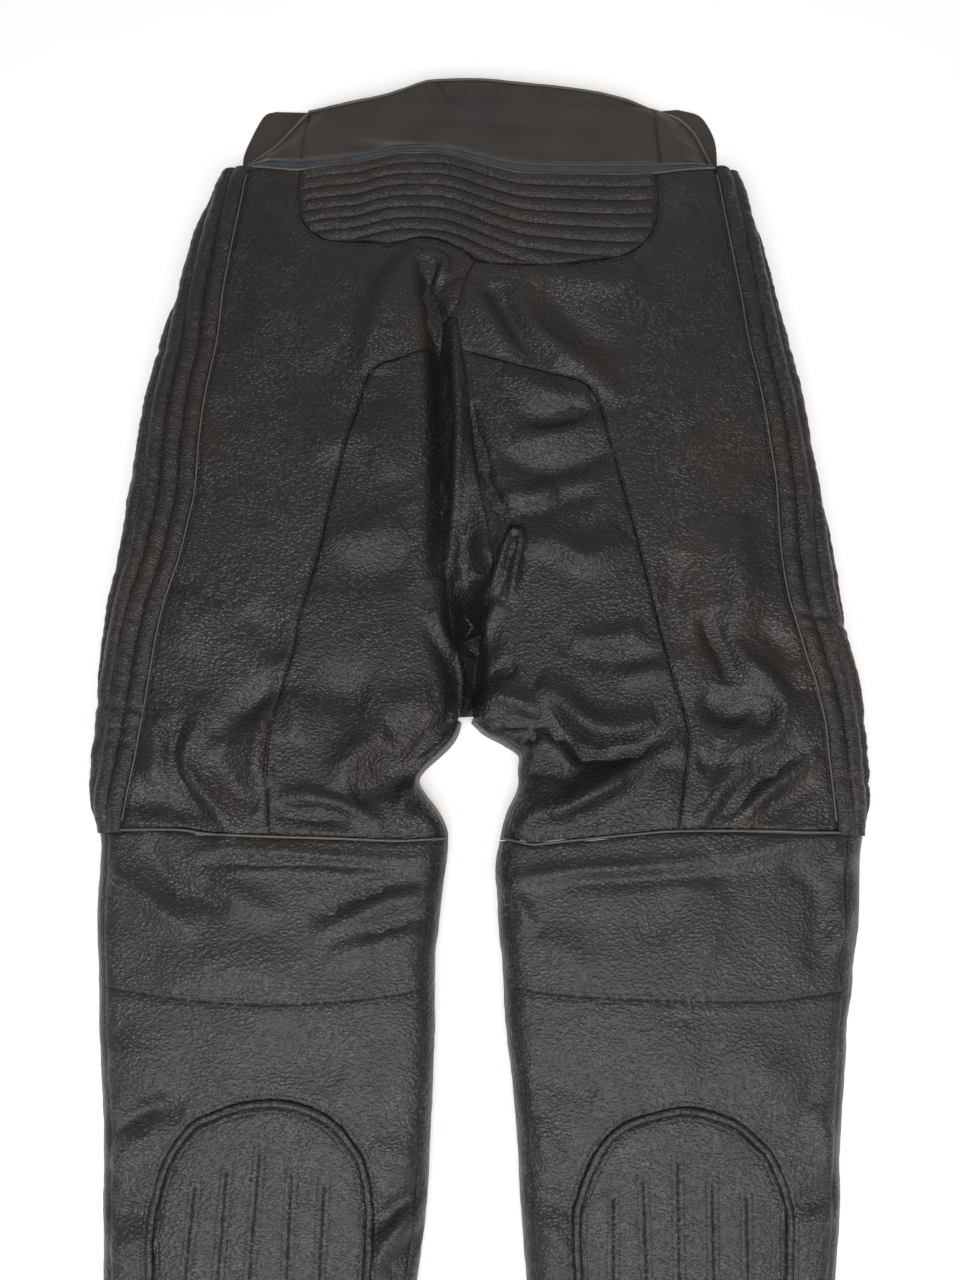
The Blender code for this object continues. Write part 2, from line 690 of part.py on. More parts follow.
def inner_strip(name, side):
    """The strip that rolls round the inner edge of a thigh."""
    line = inner_edge_line(side)
    inward = edge_frame(line, side)
    outer = []
    inner = []
    for edge, direction in zip(line, inward):
        section = edge_section(edge, direction, float(inner_height(edge[1])),
                               INNER_LIP - LIP_GAP, UNDER_WRAP)
        row = resample(section, count=7)
        normals = section_normals(row, direction)
        outer.append(row)
        inner.append(row - normals * WALL)
    tube(name, np.array(outer), np.array(inner), "hide")
    return line, inward


def leg_outlines(side):
    """The outer and inner outlines of a leg."""
    return (outer_left, inner_left) if side < 0 else (outer_right, inner_right)


def outer_wrap(side, y):
    """How far the front wraps over a leg's outer edge; the right one is wider above the knee."""
    if side < 0:
        return LEG_WRAP
    return LEG_WRAP + RIGHT_WRAP_EXTRA * (1 - ease(-y, *WRAP_NARROWS))


def front_leg(name, side, top_outer, top_inner):
    """The front of a lower leg: flat underneath and rolled up over both of the leg's edges."""
    outline, inner_outline = leg_outlines(side)
    outer = []
    inner = []
    for row in range(LEG_ROWS + 1):
        share = row / LEG_ROWS
        y_outer = top_outer + (HEM - top_outer) * share
        y_inner = top_inner + (HEM - top_inner) * share
        into = (-float(side), 0.0)
        back = (float(side), 0.0)
        outside = edge_section((float(outline(y_outer)), y_outer), into, float(edge_height(y_outer)),
                               outer_wrap(side, y_outer) - SEAM_GAP / 2, UNDER_TUCK)
        inside = edge_section((float(inner_outline(y_inner)), y_inner), back,
                              float(inner_height(y_inner)), LEG_WRAP - SEAM_GAP / 2, UNDER_TUCK)
        first = resample(outside, count=WRAP_COLUMNS)
        last = resample(inside, count=WRAP_COLUMNS)
        first_normals = section_normals(first, into)
        last_normals = section_normals(last, back)
        flat = np.linspace(first[-1], last[-1], 4)[1:-1]
        flat_normals = np.tile([0.0, 0.0, -1.0], (len(flat), 1))
        line = np.vstack([first, flat, last[::-1]])
        normals = np.vstack([first_normals, flat_normals, last_normals[::-1]])
        outer.append(line)
        inner.append(line - normals * WALL)
    tube(name, np.array(outer), np.array(inner), "hide")


def lumbar_rise(x, y):
    """How far the lumbar panel's padded ribs stand out, following the line of the zip."""
    below = (zip_line(x) - y) / LUMBAR_PITCH
    edge = np.abs(x - LUMBAR_MIDDLE) / LUMBAR_HALF
    fade = 1 - ease(edge, 0.93, 0.99)
    return LUMBAR_RISE * np.abs(np.sin(pi * below)) * fade


def lumbar_rows():
    """Points along the crest and the valley of each rib of the lumbar panel."""
    xs = np.arange(-146, 146, 13.0)
    points = [(x, float(zip_line(x)) - LUMBAR_PITCH * half / 2) for half in range(1, 22) for x in xs]
    return np.array(points)


def build_waist():
    """The yoke, the connection zip's tape and the front waistband."""
    low = rounded(ZIP_LOW, 13.0)
    high = resample(rounded(ZIP_HIGH, 9.0), count=len(low) - 1)
    gap = np.array([0.0, TAPE_GAP])
    strip("zip_tape", low + gap, high - gap, [0.0, -1.0, -1.0], "tape")

    step = BODY_STEP
    left_bottom, rest = split(rounded(ZIP_HIGH, step), YOKE_SEAM_LEFT[0])
    middle_bottom, right_bottom = split(rest, YOKE_SEAM_RIGHT[0])
    seam_left = rounded([left_bottom[-1], YOKE_SEAM_LEFT[1]], step)
    seam_right = rounded([middle_bottom[-1], YOKE_SEAM_RIGHT[1]], step)
    top = rounded(YOKE_TOP, step)
    side_left = rounded(YOKE_SIDE_LEFT, step)
    side_right = rounded(YOKE_SIDE_RIGHT, step)
    panel("back_yoke", join(middle_bottom, seam_right, top[::-1], seam_left[::-1]), step, "yoke_hide")
    panel("back_yoke_side_left", join(left_bottom, seam_left, side_left), step, "yoke_hide")
    panel("back_yoke_side_right", join(right_bottom, side_right[::-1], seam_right[::-1]), step,
          "yoke_hide")
    band = join(rounded(BAND[:5], 12.0), rounded(BAND[4:9], 30.0), rounded(BAND[8:], 12.0))
    band[:, 1] = np.maximum(band[:, 1], WAIST + SEAM_GAP / 2)
    flat_panel("front_waistband", band, finish="yoke_hide")


def build_back():
    """The lumbar, hip and seat panels, the gusset and the piping in the mid-thigh seams."""
    step = BODY_STEP
    low = rounded(ZIP_LOW, step)
    lumbar = rounded(LUMBAR, step)
    hip_top_left = [p for p in low if QUILT_LEFT[0][0] < p[0] < LUMBAR[0][0]]
    lumbar_top = [p for p in low if LUMBAR[0][0] < p[0] < LUMBAR[-1][0]]
    hip_top_right = [p for p in low if LUMBAR[-1][0] < p[0] < QUILT_RIGHT[0][0]]
    lumbar_left, lumbar_right = split(lumbar, CENTRE[0])
    centre = rounded([lumbar_left[-1]] + CENTRE[1:], step)
    seat_left = rounded(SEAT_LEFT, step)
    seat_right = rounded(SEAT_RIGHT, step)
    gusset_left = rounded(GUSSET_LEFT, step)
    gusset_right = rounded(GUSSET_RIGHT, step)
    side_left = quilt_seam(quilt_left)
    side_right = quilt_seam(quilt_right)
    mid_left = rounded(MID_LEFT, step)
    mid_right = rounded(MID_RIGHT, step)
    raise_by = np.array([0.0, THIGH_PIPING / 2])
    outer_mid_left, inner_mid_left = split(mid_left + raise_by, SEAT_LEFT[-1])
    inner_mid_right, outer_mid_right = split(mid_right + raise_by, SEAT_RIGHT[-1])

    panel("lumbar_panel", join([LUMBAR[0]], lumbar, lumbar_top[::-1]), 24.0, "hide",
          lumbar_rise, lumbar_rows())
    panel("hip_panel_left", join([QUILT_LEFT[0]], hip_top_left, lumbar_left, centre,
                                 [GUSSET_TOP_LEFT], seat_left[:-1], outer_mid_left[:0:-1],
                                 side_left[::-1]), step)
    panel("hip_panel_right", join([QUILT_RIGHT[0]], hip_top_right[::-1], lumbar_right[::-1], centre,
                                  [GUSSET_TOP_RIGHT], seat_right[:-1], outer_mid_right[:-1],
                                  side_right[::-1]), step)
    panel("crotch_gusset", join([CENTRE[-1], GUSSET_TOP_LEFT], gusset_left, gusset_right[::-1],
                                [GUSSET_TOP_RIGHT]), step)
    edges = {}
    for side in (-1, 1):
        line = inner_edge_line(side)
        edges[side] = line + edge_frame(line, side) * INNER_LIP
    panel("seat_panel_left", join(seat_left[:-1], inner_mid_left, edges[-1][::-1],
                                  gusset_left[::-1]), step)
    panel("seat_panel_right", join(seat_right[:-1], inner_mid_right[::-1], edges[1][::-1],
                                   gusset_right[::-1]), step)
    for name, line in (("thigh_piping_left", mid_left), ("thigh_piping_right", mid_right)):
        half = np.array([0.0, THIGH_PIPING / 2 - LIP_GAP])
        strip(name, line + half, line - half, [SEWN_RISE, ROLLED_RISE, SEWN_RISE], "rolled_edge")


def leg_edge(side, where, low, high, step):
    """The seam where the front's wrap meets the back of a lower leg."""
    outline, inner_outline = leg_outlines(side)
    ys = np.linspace(low, high, max(2, round(abs(high - low) / step) + 1))
    if where == "outer":
        return np.array([(float(outline(y)) - side * (outer_wrap(side, y) + WRAP_GAP), y) for y in ys])
    return np.array([(float(inner_outline(y)) + side * (LEG_WRAP + WRAP_GAP), y) for y in ys])


def build_lower_leg(word, side, mid, knee, arch):
    """The back of one lower leg: knee panel, calf panel, arched panel and its piping."""
    step = LEG_STEP
    top = rounded(mid, step) - np.array([0.0, THIGH_PIPING / 2])
    outer_end, inner_end = (top[0], top[-1]) if side < 0 else (top[-1], top[0])
    corner = float(leg_outlines(side)[1](inner_end[1])) + side * LEG_WRAP
    inner_end = np.array([corner, np.interp(corner, top[:, 0], top[:, 1])])
    knee_line = rounded(knee, step)
    knee_outer, knee_inner = (knee_line[0], knee_line[-1]) if side < 0 else (knee_line[-1], knee_line[0])
    outer_upper = leg_edge(side, "outer", outer_end[1], knee_outer[1], step)
    inner_upper = leg_edge(side, "inner", inner_end[1], knee_inner[1], step)
    outer_lower = leg_edge(side, "outer", knee_outer[1], HEM, step)
    inner_lower = leg_edge(side, "inner", knee_inner[1], HEM, step)
    across_top = top if side < 0 else top[::-1]
    across_knee = knee_line if side < 0 else knee_line[::-1]
    reach = [p for p in across_top if abs(p[0]) < abs(outer_upper[0][0]) - 4
             and side * p[0] > side * inner_upper[0][0] + 4]
    knee_reach = [p for p in across_knee if abs(p[0]) < abs(outer_upper[-1][0]) - 4
                  and side * p[0] > side * inner_upper[-1][0] + 4]
    panel("knee_back_" + word, join(outer_upper[::-1], reach, inner_upper, knee_reach[::-1]), step)

    inner_arch = rounded(arch, ARCH_STEP)
    outer_arch = offset(inner_arch, ARCH_PIPING + SEAM_GAP)
    outer_arch[:, 1] = np.maximum(outer_arch[:, 1], HEM)
    piping_near = offset(inner_arch, SEAM_GAP)
    piping_far = offset(inner_arch, ARCH_PIPING)
    for line in (piping_near, piping_far, outer_arch):
        line[0, 1] = HEM
        line[-1, 1] = HEM
    arch_from_outer = outer_arch if side < 0 else outer_arch[::-1]
    panel("calf_back_" + word, join(outer_lower[::-1], knee_reach, inner_lower,
                                    arch_from_outer[::-1]), step)
    panel("calf_arch_" + word, join(inner_arch), step)
    strip("arch_piping_" + word, piping_near, piping_far, [SEWN_RISE, PIPING_RISE, SEWN_RISE], "hide")
    return outer_end, inner_end


def build_front(under_left, under_right):
    """The flat front panels and the fly, and the strips that roll round the inner thighs."""
    under = {-1: under_left, 1: under_right}
    for word, side in (("left", -1), ("right", 1)):
        line, inward = inner_strip("inner_thigh_" + word, side)
        inner = line + inward * UNDER_WRAP
        fly = FRONT_CENTRE + side * FLY_SIDE
        centre = [(FRONT_CENTRE, CROTCH + 16), (FRONT_CENTRE, FLY_BOTTOM), (fly, FLY_BOTTOM),
                  (fly, WAIST)]
        flat_panel("front_thigh_" + word, join(under[side], inner[::-1], centre))
    left = FRONT_CENTRE - FLY_SIDE
    right = FRONT_CENTRE + FLY_SIDE
    flat_panel("fly_placket", join([(left, FLY_BOTTOM), (right, FLY_BOTTOM), (right, WAIST),
                                    (left, WAIST)]))


def main():
    """Clears the scene and builds the garment."""
    for thing in list(bpy.data.objects):
        bpy.data.objects.remove(thing, do_unlink=True)
    group = bpy.data.collections.new("motorcycle_trousers")
    bpy.context.scene.collection.children.link(group)
    build_waist()
    build_back()
    under_left = quilt("side_quilt_left", -1)
    under_right = quilt("side_quilt_right", 1)
    build_front(under_left, under_right)
    legs = [("left", -1, MID_LEFT, KNEE_LEFT, ARCH_LEFT),
            ("right", 1, MID_RIGHT, KNEE_RIGHT, ARCH_RIGHT)]
    for word, side, mid, knee, arch in legs:
        outer_end, inner_end = build_lower_leg(word, side, mid, knee, arch)
        front_leg("front_leg_" + word, side, outer_end[1] - WRAP_DROP, inner_end[1] - WRAP_DROP)


main()
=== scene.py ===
from collections import namedtuple
from math import cos, pi, radians, sin

import bpy
import numpy as np
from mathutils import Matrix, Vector
from mathutils.geometry import delaunay_2d_cdt
from mathutils.kdtree import KDTree


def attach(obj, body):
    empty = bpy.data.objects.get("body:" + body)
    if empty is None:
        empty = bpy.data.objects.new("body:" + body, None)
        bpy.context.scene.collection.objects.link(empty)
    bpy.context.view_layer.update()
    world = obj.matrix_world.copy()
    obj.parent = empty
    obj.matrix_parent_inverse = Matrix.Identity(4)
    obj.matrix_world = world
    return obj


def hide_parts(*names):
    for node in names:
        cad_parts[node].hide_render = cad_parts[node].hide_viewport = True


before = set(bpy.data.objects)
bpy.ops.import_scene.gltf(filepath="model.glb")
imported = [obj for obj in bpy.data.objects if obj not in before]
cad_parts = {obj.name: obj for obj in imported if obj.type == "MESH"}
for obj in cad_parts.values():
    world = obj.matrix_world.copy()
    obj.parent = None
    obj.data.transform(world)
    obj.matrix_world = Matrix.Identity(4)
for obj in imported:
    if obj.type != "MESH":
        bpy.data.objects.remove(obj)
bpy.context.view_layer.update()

# The garment's form repeats the values of its CAD source. Lengths are millimetres.
MM = 0.001
LEATHER = 1.5
SEAM_GAP = 0.3
SEAM_DIP = 1.1
SEAM_SPREAD = 1.5
HEM = -576.0
CROTCH = 24.0
WAIST = 488.0
MID_SEAM = -61.0
MID_INNER = -66.0
EDGE_ROLL = 20.0
ROLL_SHARE = 0.72
FOLD_FADE = 10.0
LEG_WRAP = 8.0
RIGHT_WRAP_EXTRA = 7.0
UNDER_WRAP = 15.0
UNDER_TUCK = 30.0
INNER_LIP = 3.0
QUILT_RIBS = 7
QUILT_PITCH = 14.2
QUILT_RISE = 2.9
LUMBAR_RISE = 2.6
THIGH_PIPING = 3.0
YOKE_ROW = 4.2
SEAM_ROW = 2.2
HIP_ROW = 3.0
KNEE_ROW = 3.2
CENTRE_ROW = 2.6
ARCH_ROWS = (9.0, -3.6)
TUCK_HALF = 4.4
TUCK_START = 6
THIGH_PIPING_RISE = 1.3
ARCH_PIPING = 5.4
ARCH_PIPING_RISE = 1.4
YOKE_LOW = 9.0
DEEPEST = 7.0
SETTLE = 1.6
SKIN_STEP = 2.5
LINING_STEP = 14.0
STAGGER = 0.87
SLOPE_REACH = 0.4
EDGE_RINGS = (0.7, 1.5, 2.5)
EDGE_CLEAR = 3.4
CREASE_SHIFTS = (-1.4, -0.6, 0.0, 0.6, 1.4)
CREASE_CLEAR = 2.1
SHARP_ANGLE = 0.9

Outline = namedtuple("Outline", "y outer_left outer_right")
OUTLINE = [Outline(*row) for row in (
    (508, -199, 203), (495, -213, 213), (482, -221, 219), (455, -229, 226), (427, -238, 233),
    (400, -245, 238), (373, -249.5, 243), (347, -256.5, 248), (321, -262.5, 253), (295, -268.5, 258.5),
    (269, -272.5, 262), (243, -275.5, 265.5), (218, -278.5, 269.5), (193, -281, 273),
    (168, -283.5, 276.5), (144, -286, 279), (120, -289.5, 281.5), (96, -292, 285), (72, -294, 290),
    (48, -295, 293), (25, -296, 294), (1, -296.3, 295), (-22, -296.3, 295.5), (-44, -294.5, 294.5),
    (-61, -288.5, 291), (-82, -286.5, 287), (-111, -287, 285), (-133, -286, 283), (-155, -284, 278),
    (-177, -282, 275.5), (-198, -281, 271), (-219, -279, 269), (-240, -277, 266.5), (-261, -274.5, 264),
    (-302, -272, 260), (-322, -271.5, 259.5), (-343, -270, 257.5), (-375, -268, 253), (-420, -266, 252),
    (-470, -260, 246), (-520, -257, 242), (-576, -250, 236),
)]

Inseam = namedtuple("Inseam", "y left right")
INSEAM = [Inseam(*row) for row in (
    (24, -14, -8), (13, -17, 4), (5, -22, 19), (-4, -31, 30), (-14, -42, 29), (-22, -46.5, 29.5),
    (-31, -42, 27.5), (-44, -32, 21), (-53, -27, 18), (-64, -24, 15.5), (-89, -26, 11.5),
    (-111, -29, 13), (-133, -31, 14), (-155, -33.5, 16.5), (-198, -33.2, 18.5), (-240, -34.3, 23.5),
    (-282, -36, 27), (-322, -38, 29), (-343, -40, 30.5), (-375, -44.5, 33), (-420, -47, 37),
    (-470, -53, 38), (-520, -56, 43), (-576, -62, 46),
)]

Height = namedtuple("Height", "y crown edge inner")
HEIGHTS = [Height(*row) for row in (
    (576, 17, 6, 12), (505, 27, 8, 12), (470, 33, 10, 12), (400, 40, 12, 12), (250, 43, 13, 12),
    (80, 42, 13, 8), (24, 40, 13, 5.5), (-25, 40, 13, 10), (-66, 38, 12, 12), (-180, 39, 12, 12),
    (-300, 36, 11, 11), (-470, 32, 10, 10), (-576, 27, 9, 9),
)]

CLEFT = [(24, -11), (90, -9), (150, -14), (240, -20), (350, -24)]
CLEFT_SPREAD = 15.0

# Folds of the back: rise (a trough is negative), its half-widths on the left and on the right
# of someone walking along it, and the points that it passes through
FOLDS = [
    (8.5, 22, 11, (-46, 405), (-64, 382), (-78, 357), (-87, 321), (-89, 298)),
    (-16, 8, 8, (-48, 400), (-37, 362), (-33, 321), (-31, 279), (-30, 233), (-30, 187), (-32, 132)),
    (4.5, 4, 5, (-46, 405), (-34, 401), (-27, 393), (-31, 385), (-38, 375), (-34, 365), (-22, 350)),
    (-4, 4, 4, (-41, 393), (-37, 388), (-41, 378), (-43, 366), (-37, 354)),
    (7, 7, 6, (-22, 338), (-21, 298), (-18, 256), (-20, 210), (-22, 169), (-20, 134)),
    (-7, 5, 6, (-7, 274), (-1, 242), (8, 205), (19, 181), (25, 169)),
    (6.5, 10, 12, (-19, 378), (-1, 354), (12, 331), (32, 309)),
    (-4.5, 8, 8, (8, 374), (24, 350), (37, 326), (61, 309)),
    (7, 11, 9, (24, 371), (37, 340), (57, 319), (83, 301), (113, 273)),
    (-4.5, 10, 10, (48, 378), (66, 352), (88, 331), (119, 312)),
    (5, 12, 10, (55, 383), (84, 377), (111, 378), (129, 393)),
    (5.5, 12, 9, (19, 302), (39, 288), (61, 279), (87, 277)),
    (-4, 9, 9, (25, 265), (54, 260), (87, 267)),
    (5, 8, 10, (25, 246), (47, 245), (73, 251), (96, 263)),
    (-6, 10, 10, (12, 233), (43, 219), (73, 221), (102, 235)),
    (4, 8, 9, (16, 201), (36, 196), (60, 201)),
    (-4, 8, 8, (25, 185), (47, 185), (68, 194), (94, 199)),
    (8, 13, 11, (31, 158), (59, 158), (85, 147), (111, 167)),
    (9, 4, 6, (3, 114), (13, 138), (23, 166), (31, 164), (27, 136), (23, 114)),
    (4, 7, 6, (-7, 163), (3, 154), (13, 147)),
    (4.5, 16, 14, (-136, 233), (-110, 242), (-93, 256)),
    (-3.5, 16, 16, (-142, 288), (-118, 302), (-101, 331)),
    (4, 14, 14, (-121, 161), (-93, 165), (-61, 178)),
    (-4, 14, 16, (-112, 136), (-82, 134), (-52, 147)),
    (3.5, 14, 14, (-78, 274), (-73, 242), (-66, 210)),
    (8, 4.5, 7, (-25, 118), (-32, 106), (-29, 92), (-15, 69), (-11, 44), (-13, 23), (-26, 3), (-44, -18),
     (-56, -35), (-58, -49), (-50, -58)),
    (-7, 8, 7, (-38, 102), (-34, 87), (-22, 63), (-18, 40), (-26, 20), (-45, 1), (-61, -20), (-68, -38)),
    (-22, 5, 6, (-9, 130), (-7, 102), (-4, 83), (-3, 65), (-4, 50), (-6, 33)),
    (9, 6, 6, (15, 114), (6, 102), (1, 85), (0, 65)),
    (7, 9, 7, (1, 37), (14, 40), (29, 35), (47, 26)),
    (-6, 6, 6, (6, 56), (21, 61), (29, 63)),
    (-5, 5, 5, (6, 18), (25, 20), (49, 18)),
    (3.5, 4, 4, (-5, 21), (6, 10), (25, -1)),
    (-6, 5, 5, (28, -3), (33, 6), (44, 12)),
    (5, 8, 8, (28, -18), (43, 3), (62, 1), (73, -16)),
    (-6, 7, 7, (27, -20), (43, -16), (62, -20), (73, -25)),
    (-5, 8, 8, (70, 6), (75, -5), (73, -20)),
    (8, 10, 8, (23, -57), (43, -48), (65, -42), (88, -31), (108, -20)),
    (-3.5, 8, 10, (57, 90), (78, 75), (107, 68), (141, 70)),
    (4.5, 8, 9, (67, 81), (99, 83), (124, 90)),
    (3.5, 7, 8, (103, 53), (124, 58), (145, 60)),
    (9, 11, 9, (42, 49), (60, 38), (81, 19), (106, 15), (133, 23)),
    (-10, 8, 9, (48, 26), (68, 5), (87, -6), (112, -2), (143, 9)),
    (7.5, 11, 8, (53, -53), (80, -37), (103, -24), (128, -4), (154, 4)),
    (3, 12, 12, (138, -16), (138, -37), (129, -53)),
    (-5, 12, 12, (152, 151), (149, 122), (146, 90), (154, 72)),
    (7, 14, 12, (202, 182), (197, 151), (200, 120), (188, 90)),
    (-8, 10, 9, (172, 105), (178, 85), (187, 66), (189, 49)),
    (7.5, 8, 10, (186, 94), (196, 72), (216, 55), (228, 36), (222, 12), (195, -1), (166, -6)),
    (-8, 12, 9, (165, 38), (186, 26), (211, 26), (220, 38)),
    (4.5, 6, 7, (183, 9), (202, 21), (217, 36)),
    (-4, 10, 9, (209, 94), (226, 81), (240, 62)),
    (4, 12, 10, (241, 43), (242, 21), (237, 3)),
    (-5, 7, 8, (163, -12), (176, -8), (181, 5)),
    (4.5, 7, 6, (158, -59), (171, -43), (184, -24), (201, -10)),
    (-4.5, 6, 6, (170, -57), (191, -39), (213, -20), (247, -2)),
    (5, 7, 6, (184, -59), (208, -37), (229, -20), (257, -4)),
    (-3.5, 8, 7, (203, -59), (224, -43), (252, -26)),
    (5.5, 6, 9, (-210, 42), (-210, 21), (-221, 0), (-219, -17), (-199, -42), (-179, -66)),
    (-5, 8, 6, (-224, 25), (-228, 8), (-229, -9), (-222, -29), (-200, -50)),
    (5, 8, 9, (-231, 29), (-243, 16), (-242, -9), (-249, -25)),
    (-4, 8, 8, (-200, -4), (-183, -29), (-166, -46)),
    (4, 10, 10, (-197, 12), (-180, 16), (-175, -4), (-170, -25)),
    (-6, 9, 10, (-152, 54), (-168, 37), (-189, 16), (-194, 6)),
    (6, 8, 7, (-160, 33), (-164, 12), (-166, -13), (-161, -29)),
    (4.5, 12, 10, (-143, 44), (-139, 25), (-142, 4)),
    (-4, 14, 14, (-179, 106), (-162, 89), (-153, 67)),
    (4, 16, 16, (-229, 124), (-221, 97), (-229, 74)),
    (-5, 16, 16, (-123, 54), (-106, 44), (-85, 37)),
    (4.5, 14, 12, (-84, 12), (-64, 29), (-36, 37)),
    (7, 12, 10, (-108, -31), (-100, -13), (-88, 0), (-68, 12)),
    (-5.5, 10, 9, (-92, -37), (-75, -25), (-63, -4)),
    (5, 7, 6, (-149, -35), (-125, -36), (-100, -42), (-71, -58)),
    (-4, 6, 6, (-153, -47), (-124, -49), (-97, -55)),
    (-5, 10, 9, (-259, -37), (-234, -40), (-206, -52), (-190, -64)),
    (3.5, 8, 8, (-276, -52), (-256, -54), (-231, -57)),
    (4, 9, 8, (-56, -58), (-42, -50), (-25, -58)),
    (3.5, 5, 5, (-217, -80), (-190, -75), (-150, -77), (-66, -84), (-30, -82)),
    (-3.5, 5, 5, (-207, -84), (-150, -83), (-91, -87), (-32, -87)),
    (2.5, 3.5, 4, (-187, -90), (-140, -88), (-91, -91), (-52, -90)),
    (5, 8, 8, (-273, -89), (-250, -107), (-222, -125), (-205, -133)),
    (-4.5, 7, 7, (-249, -72), (-231, -94), (-213, -107), (-183, -116)),
    (3.5, 10, 9, (-199, -99), (-171, -113), (-149, -123)),
    (-4.5, 7, 7, (-124, -125), (-100, -111), (-71, -100), (-42, -98)),
    (4, 7, 7, (-124, -137), (-95, -125), (-66, -111), (-34, -106)),
    (-3.5, 6, 6, (-90, -140), (-66, -128), (-37, -123)),
    (4, 9, 8, (-114, -154), (-85, -144), (-41, -135)),
    (2.5, 18, 16, (-235, -166), (-182, -159), (-128, -166)),
    (3.5, 16, 20, (-264, -214), (-241, -228), (-231, -251)),
    (-2.5, 20, 20, (-161, -205), (-132, -223), (-98, -233)),
    (-4.5, 8, 7, (-267, -284), (-251, -266), (-233, -257), (-211, -260)),
    (3.5, 8, 8, (-263, -300), (-248, -282), (-225, -275)),
    (-3.5, 8, 8, (-264, -324), (-241, -328), (-224, -326)),
    (3.5, 8, 8, (-263, -354), (-244, -348), (-228, -350)),
    (6, 7, 8, (-81, -374), (-67, -350), (-56, -335), (-40, -324)),
    (-5.5, 7, 7, (-79, -341), (-63, -328), (-40, -311)),
    (-4, 6, 6, (-62, -374), (-51, -352), (-37, -341)),
    (2.5, 9, 9, (-80, -282), (-64, -289), (-40, -295)),
    (4.5, 6, 7, (12, -99), (61, -91), (103, -89), (138, -87), (172, -81)),
    (-4, 7, 6, (61, -99), (103, -96), (143, -94), (187, -93)),
    (4.5, 10, 8, (172, -83), (210, -75), (237, -68), (269, -65)),
    (-3.5, 9, 9, (222, -85), (245, -101), (249, -125), (240, -159)),
    (3, 12, 12, (176, -106), (168, -133), (158, -156), (155, -177)),
    (-2.5, 12, 12, (147, -101), (137, -125), (117, -140)),
    (2.8, 12, 12, (46, -133), (63, -149), (80, -166)),
    (3.5, 7, 7, (259, -77), (270, -82), (270, -94)),
    (3, 6, 6, (259, -116), (269, -125), (257, -149)),
    (3.5, 6, 6, (17, -101), (27, -111), (37, -133)),
    (2.2, 16, 16, (142, -196), (141, -219), (143, -246)),
    (3.2, 20, 20, (182, -210), (205, -233), (233, -246)),
    (-3, 12, 12, (41, -228), (62, -242), (83, -248)),
    (3.5, 9, 9, (38, -264), (47, -282), (59, -293)),
    (-3.5, 8, 8, (33, -313), (54, -320), (72, -328)),
    (3, 7, 8, (35, -335), (54, -344), (65, -363)),
    (-3, 9, 9, (218, -322), (234, -320), (253, -311)),
    (3, 9, 9, (217, -339), (236, -331), (252, -328)),
    (3.5, 9, 8, (237, -255), (248, -278), (247, -304)),
    (-3.5, 10, 10, (-262, -420), (-240, -446), (-226, -486)),
    (3.5, 9, 9, (-60, -440), (-76, -470), (-88, -520)),
    (-3, 11, 11, (-250, -548), (-200, -520), (-130, -530)),
    (-3.5, 9, 9, (46, -430), (58, -462), (76, -486)),
    (3, 9, 9, (246, -452), (226, -480), (214, -530)),
    (-3, 11, 11, (60, -550), (130, -524), (226, -540)),
    (2.5, 12, 12, (-210, -470), (-160, -452), (-104, -462)),
    (2.5, 12, 12, (88, -476), (140, -452), (200, -468)),
    (2.4, 16, 16, (-190, 400), (-170, 350), (-190, 300)),
    (2.4, 14, 14, (180, 440), (186, 400), (160, 350)),
]

# Creases of the front, which the garment lies on: soft troughs that lift off the surface
FRONT_FOLDS = [
    (3.5, 13, 13, (-180, 440), (-140, 400), (-60, 380)), (4, 14, 14, (-210, 330), (-150, 300), (-70, 320)),
    (4, 13, 13, (-200, 200), (-150, 150), (-60, 140)), (3.5, 12, 12, (-40, 90), (-90, 60), (-170, 70)),
    (4, 13, 13, (-60, 10), (-120, -20), (-200, -10)), (3.5, 13, 13, (170, 430), (120, 390), (50, 392)),
    (4, 14, 14, (200, 300), (140, 280), (60, 300)), (4, 13, 13, (210, 170), (150, 140), (50, 156)),
    (3.5, 12, 12, (40, 80), (100, 44), (190, 60)), (4, 13, 13, (60, -10), (120, -30), (190, -14)),
    (4, 14, 14, (-230, -120), (-160, -140), (-70, -124)),
    (3.5, 13, 13, (-80, -190), (-150, -216), (-230, -190)),
    (3, 14, 14, (-220, -300), (-150, -320), (-80, -300)),
    (3.5, 14, 14, (-210, -420), (-160, -450), (-90, -440)),
    (4, 14, 14, (220, -110), (150, -136), (60, -120)), (3.5, 13, 13, (70, -200), (130, -220), (220, -204)),
    (3, 14, 14, (210, -310), (140, -330), (70, -306)), (3.5, 14, 14, (200, -430), (150, -460), (80, -446)),
]

YOKE_FOLDS = [
    (2.4, 6, 6, (-124, 524), (-84, 514), (-34, 505)), (-2.0, 6, 6, (-124, 514), (-80, 504), (-40, 500)),
    (2.2, 5, 5, (-46, 573), (-36, 561), (-30, 546)), (-1.6, 5, 5, (-36, 573), (-26, 560), (-18, 546)),
    (-1.2, 8, 8, (-134, 538), (0, 532), (134, 528)), (1.2, 7, 7, (-104, 547), (0, 546), (114, 542)),
    (1.4, 8, 8, (16, 517), (70, 510), (134, 514)), (-1.0, 7, 7, (10, 507), (70, 500), (140, 503)),
    (1.2, 4, 4, (-182, 509), (-168, 506), (-152, 508)), (1.4, 5, 5, (156, 522), (168, 514), (186, 511)),
]

